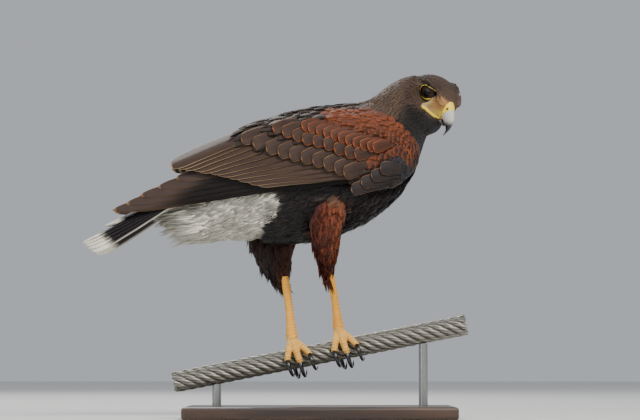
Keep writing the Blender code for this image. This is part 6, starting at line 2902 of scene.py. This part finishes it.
@dataclass
class Leg:
    """Bare shank, toes and claws of one leg."""

    side: Side
    knee: Array
    foot: float
    foot_y: float
    shank: float
    dress: bpy.types.Material
    horn: bpy.types.Material
    voxel: float = 0.00062
    gap: float = 0.0004
    sweep: float = math.radians(78.0)
    hook_drop: float = 0.0085
    hook_drift: float = 0.006
    shank_points: int = 30
    shank_sides: int = 24
    toe_points: int = 26
    toe_sides: int = 20
    claw_points: int = 20
    claw_sides: int = 14
    shank_scute: float = 0.0034
    toe_scute: float = 0.0027
    scute_depth: float = 0.00034
    soften_rounds: int = 5

    def toe_path(self, toe: Toe, count: int) -> tuple[Array, Array]:
        """Points and radii of a toe.

        Args:
            toe: the toe.
            count: how many points.
        Returns:
            The points and the radii.
        """
        t = np.linspace(0.0, 1.0, count)
        radius = toe.base + (toe.end - toe.base) * t
        radius = radius * (1.0 + 0.09 * np.sin(3.0 * np.pi * t) ** 2)
        turn = np.radians(toe.first + (toe.last - toe.first) * t)
        reach = CABLE.radius + self.gap + radius * 1.06 + 0.0035 * (1.0 - t) ** 2
        return CABLE.point(self.foot + toe.axial * t**0.8, turn, reach), radius

    def over_cable(self, rise: float) -> Array:
        """The point at the foot that lies so high over the cable's skin."""
        return CABLE.point(self.foot, 0.0, CABLE.radius + self.gap + rise)

    def shank_path(self) -> tuple[Array, Array]:
        """Points and radii of the shank, knee to foot.

        Returns:
            The points and the radii.
        """
        pad = self.over_cable(0.0068)
        ankle = np.array((pad[0] - 0.001, self.foot_y, pad[2] + 0.006))
        start = self.knee + np.array((0.0, 0.0, 0.006))
        t = np.linspace(0.0, 1.0, self.shank_points)
        path = start + (ankle - start) * t[:, None]
        path[:, 0] += 0.0010 * np.sin(np.pi * t)
        keys = ((1.04,), (1.0,), (0.95,), (0.94,), (0.98,), (1.14,), (1.38,))
        return path, self.shank * resample(keys, t)[:, 0]

    def build(self) -> None:
        """Make the leg one skin with scales, and each claw a piece."""
        joined = MeshParts()
        path, radii = self.shank_path()
        joined.add(*tube(path, radii, self.shank_sides))
        pad = np.array([path[-1] + (0, 0, 0.002), self.over_cable(0.0073)])
        joined.add(*tube(pad, np.array((self.shank * 1.4, 0.0062)), self.shank_sides))
        toes = {}
        for toe in TOES:
            toes[toe.name] = self.toe_path(toe, self.toe_points)
            joined.add(*tube(*toes[toe.name], self.toe_sides))
        name = f"leg_{self.side.label}_skin"
        obj = one_skin(joined, name, self.voxel, self.soften_rounds)
        self.scale_over(obj.data, path, toes)
        obj.data.shade_smooth()
        obj.data.materials.append(self.dress)
        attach(obj, BODY)
        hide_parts(f"leg_{self.side.label}")
        report(obj)
        for toe in TOES:
            self.claw(toe, *toes[toe.name])

    def scale_over(self, mesh: bpy.types.Mesh, path: Array, toes: dict[str, tuple[Array, Array]]) -> None:
        """Press the grooves between scutes into the skin and paint it, with painted shade where it faces
        down.

        Args:
            mesh: the leg's skin.
            path: points along the shank.
            toes: points and radii of each toe.
        """
        points, normals = points_of(mesh), normals_of(mesh)
        paths = [(path, self.shank_scute)] + [(line, self.toe_scute) for line, _ in toes.values()]
        best = np.full(len(points), np.inf)
        groove = np.zeros(len(points))
        toe_share = np.zeros(len(points))
        for number, (line, pitch) in enumerate(paths):
            gaps = np.linalg.norm(points[:, None, :] - line[None, :, :], axis=2)
            near = np.argmin(gaps, axis=1)
            distance = gaps[np.arange(len(points)), near]
            steps = np.linalg.norm(np.diff(line, axis=0), axis=1)
            run = np.concatenate([[0.0], np.cumsum(steps)])
            tangent = unit(np.gradient(line, axis=0))[near]
            rel = points - line[near]
            place = run[near] + np.sum(rel * tangent, axis=1)
            if number == 0:
                facing = normals[:, 0] * 0.9 + normals[:, 1] * self.side.value * -0.1
            else:
                away = points - CABLE.origin()
                away[:, 0] = 0.0
                facing = np.sum(unit(away) * normals, axis=1)
            wave = np.abs(np.sin(np.pi * place / pitch))
            line_depth = smooth(0.42, 0.0, wave) * smooth(-0.1, 0.35, facing)
            closer = distance < best
            best = np.where(closer, distance, best)
            groove = np.where(closer, line_depth, groove)
            toe_share = np.where(closer, float(number > 0), toe_share)
        points = points - normals * (groove * self.scute_depth)[:, None]
        mesh.vertices.foreach_set("co", points.ravel())
        mesh.update()
        colour = lerp(LEG_YELLOW, TOE_YELLOW, toe_share)
        # Painted shade: darker where the skin faces down.
        under = smooth(-0.2, -0.9, normals[:, 2])
        colour = lerp(colour, colour * 0.72, under)
        colour = lerp(colour, SCUTE_GROOVE, groove * 0.75)
        paint(mesh, "ground", colour)

    def claw(self, toe: Toe, path: Array, radii: Array) -> None:
        """One hooked black claw.

        Args:
            toe: the toe.
            path: points along the toe.
            radii: radii along the toe.
        """
        along, origin = CABLE.axes()[0], CABLE.origin()
        tangent = unit(path[-1] - path[-2])
        begin = path[-1] - tangent * radii[-1] * 0.4
        axial = (begin - origin).dot(along)
        reach = np.linalg.norm(begin - origin - along * axial)
        t = np.linspace(0.0, 1.0, self.claw_points)
        sign = 1.0 if toe.last > 0 else -1.0
        bulge = self.hook_drop * np.sin(np.pi * t) + (0.0022 - 0.0035 * t) * t
        angle = math.radians(toe.last) + sign * (self.sweep * t - 0.4 * radii[-1] / reach)
        points = CABLE.point(axial + self.hook_drift * t**1.5, angle, reach + bulge)
        sizes = radii[-1] * 0.80 * (1.0 - t) ** 0.72 + 0.00025
        name = f"claw_{self.side.label}_{toe.name}"
        obj = closed(f"{name}_horn", tube(points, sizes, self.claw_sides), ground=CLAW_BLACK)
        obj.data.materials.append(self.horn)
        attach(obj, BODY)
        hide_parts(name)


class Cable:
    """The cut length of cable, its strands laid by Geometry Nodes along helical lines."""

    def tree(self) -> PieceTree:
        """Build the tree that sweeps a round profile along the carrier's lines.

        Returns:
            The tree.
        """
        tree = PieceTree("strand sweep", {"Strand radius": "Float"})
        line = tree.add("GeometryNodeMeshToCurve", {"Mesh": tree.given["Geometry"]})
        values = {"Resolution": CABLE.sides, "Radius": tree.given["Strand radius"]}
        profile = tree.add("GeometryNodeCurvePrimitiveCircle", values)
        values = {"Curve": line.outputs[0], "Profile Curve": profile.outputs[0], "Fill Caps": True}
        tree.finish(tree.add("GeometryNodeCurveToMesh", values).outputs[0])
        return tree

    def build(self) -> None:
        """Lay the strands and the core, and wind the wires of each on the Strand map."""
        steps = CABLE.steps
        axial = np.linspace(-0.5, 0.5, steps) * CABLE.length
        middle = CABLE.radius - CABLE.strand_radius
        points, edges = [], []
        for k in range(CABLE.strands):
            turn = 2.0 * np.pi * (k / CABLE.strands + axial / CABLE.lead)
            base = len(points)
            points += CABLE.point(axial, turn, np.full(steps, middle)).tolist()
            edges += [(base + i, base + i + 1) for i in range(steps - 1)]
        mesh = bpy.data.meshes.new("cable_strands")
        mesh.from_pydata(points, edges, [])
        obj = link(mesh, "cable_strands")
        finish = CableFinish().material("cable wire")
        self.tree().run(obj, {"Strand radius": CABLE.strand_radius, "Finish": finish})
        outward(obj)
        obj.data.shade_smooth()
        self.wind(obj.data)
        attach(obj, BODY)
        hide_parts("perch_cable")
        report(obj)
        self.core(finish)

    def wind(self, mesh: bpy.types.Mesh) -> None:
        """Store the Strand map: turn round the strand, its seam inside, and turns along the cable.

        Args:
            mesh: the mesh.
        """
        points = points_of(mesh)
        along, up = CABLE.axes()
        rel = points - CABLE.origin()
        axial = rel @ along
        angle = np.arctan2(-rel[:, 1], rel @ up)
        k = np.round((angle / (2 * np.pi) - axial / CABLE.lead) * CABLE.strands)
        turn = 2.0 * np.pi * (k / CABLE.strands + axial / CABLE.lead)
        middle = CABLE.point(axial, turn, np.full(len(points), CABLE.radius - CABLE.strand_radius))
        out = unit(middle - (CABLE.origin() + axial[:, None] * along))
        side = np.cross(along, out)
        off = points - middle
        round_it = np.arctan2(np.sum(off * side, axis=1), np.sum(off * out, axis=1)) / (2 * np.pi) + 0.5
        corner_uv = np.stack([round_it, axial / CABLE.wire_lay], axis=1)[corners_of(mesh)]
        for face in mesh.polygons:
            span = slice(face.loop_start, face.loop_start + face.loop_total)
            if np.ptp(corner_uv[span, 0]) > 0.5:
                corner_uv[span, 0] += corner_uv[span, 0] < 0.5
        mesh.uv_layers.new(name="Strand").uv.foreach_set("vector", corner_uv.astype(np.float32).ravel())

    def core(self, dress: bpy.types.Material) -> None:
        """The straight core inside the strands.

        Args:
            dress: its material.
        """
        steps, sides = CABLE.core_steps, CABLE.core_sides
        axial = np.linspace(-0.5, 0.5, steps) * (CABLE.length - 0.001)
        line = CABLE.point(axial, np.zeros(steps), np.zeros(steps))
        run = np.repeat(axial, sides) / CABLE.wire_lay
        uv = np.stack([np.tile(np.arange(sides) / sides, steps), run], axis=1)
        form = tube(line, np.full(steps, CABLE.core_radius), sides)
        obj = closed("cable_core", form, Strand=uv)
        obj.data.materials.append(dress)
        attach(obj, BODY)


class Stand:
    """The display stand keeps its CAD shapes and gets its finishes."""

    def dress(self) -> None:
        """Put wood on the base and steel on the rods."""
        wood = WoodFinish().material("stained wood")
        steel = SteelFinish().material("satin rod")
        for name, material in (("stand_base", wood), ("stand_rod_1", steel), ("stand_rod_2", steel)):
            for slot in frame["nodes"][name].material_slots:
                slot.material = material


@dataclass
class Studio:
    """Pale floor, soft lights and the camera at the photograph's angle."""

    distance: float = 2.5
    elevation: float = math.radians(-4.0)
    target: tuple = (0.0, 0.0, 0.2328)
    scale: float = 0.00112
    pixels: int = 640
    sensor: float = 36.0
    floor_reach: float = 6.0

    def build(self) -> None:
        """Set up camera, floor, lights and backdrop colour."""
        back = Vector((0.0, -math.cos(self.elevation), math.sin(self.elevation)))
        camera = bpy.data.objects.new("camera", bpy.data.cameras.new("camera"))
        bpy.context.scene.collection.objects.link(camera)
        camera.location = Vector(self.target) + back * self.distance
        camera.rotation_euler = (-back).to_track_quat("-Z", "Y").to_euler()
        camera.data.sensor_width = self.sensor
        camera.data.lens = self.sensor * self.distance / (self.pixels * self.scale)
        bpy.context.scene.camera = camera
        self.floor()
        self.light("key", place=(0.9, -1.7, 1.9), size=0.9, power=62.0, colour=(1.0, 0.96, 0.90))
        self.light("fill", place=(-1.6, -1.6, 1.0), size=1.6, power=16.0, colour=(0.90, 0.95, 1.0))
        self.light("rim", place=(-0.6, 1.8, 1.7), size=1.0, power=26.0, colour=(1.0, 0.98, 0.95))
        world = bpy.data.worlds.new("studio")
        bpy.context.scene.world = world
        world.use_nodes = True
        backdrop = world.node_tree.nodes["Background"].inputs
        backdrop["Color"].default_value = (0.80, 0.84, 0.90, 1.0)
        backdrop["Strength"].default_value = 0.55

    def floor(self) -> None:
        """A wide pale floor."""
        mesh = bpy.data.meshes.new("studio_floor")
        size = self.floor_reach
        corners = [(-size, -size, 0.0), (size, -size, 0.0), (size, size, 0.0), (-size, size, 0.0)]
        mesh.from_pydata(corners, [], [(0, 1, 2, 3)])
        floor = link(mesh, "studio_floor")
        s = Shader("pale floor")
        colour = s.mix(FLOOR_GREY, FLOOR_PALE, s.noise(s.place(), scale=3.0))
        mesh.materials.append(s.finish(Base_Color=colour, Roughness=0.7))

    def light(self, name: str, place: Sequence[float], size: float, power: float, colour: Colour) -> None:
        """One soft area light that looks at the bird.

        Args:
            name: the lamp's name.
            place: where it hangs.
            size: its width.
            power: its power in watts.
            colour: its colour.
        """
        data = bpy.data.lights.new(name, "AREA")
        data.shape = "DISK"
        data.size, data.energy, data.color = size, power, colour
        lamp = bpy.data.objects.new(name, data)
        bpy.context.scene.collection.objects.link(lamp)
        lamp.location = place
        way = Vector((0.0, 0.0, 0.24)) - Vector(place)
        lamp.rotation_euler = way.to_track_quat("-Z", "Y").to_euler()


def main() -> None:
    """Build the bird piece by piece, then the perch, the stand and the studio."""
    logging.basicConfig(level=logging.INFO, format="%(name)s: %(message)s")
    Studio().build()
    skin = Skin()
    body = skin.build()
    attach(body, BODY)
    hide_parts("torso", "neck", "head", "thigh_right", "thigh_left")
    report(body)
    Face(skin).build()
    templates = FeatherTemplates()
    coat = Coat(skin, templates, carpet_tree())
    coats = BodyCoats(skin, coat)
    coats.head()
    coats.neck()
    coats.mantle()
    coats.breast()
    coats.vent()
    for form in THIGHS:
        coats.thigh(form)
    for side in Side:
        coats.shoulder(side)
        Wing(side, coat.finish).build()
    Tail(coat.finish).build()
    templates.remove()
    skin_finish = SkinFinish(roughness=0.46, cell=0.0012, depth=0.00025, crease=0.35).material("leg skin")
    claw_finish = HornFinish(roughness=0.22).material("claw horn")
    for form, foot in zip(THIGHS, FEET):
        Leg(form.side, form.knee(), *foot, skin_finish, claw_finish).build()
    Cable().build()
    Stand().dress()


if __name__ == "__main__":
    main()
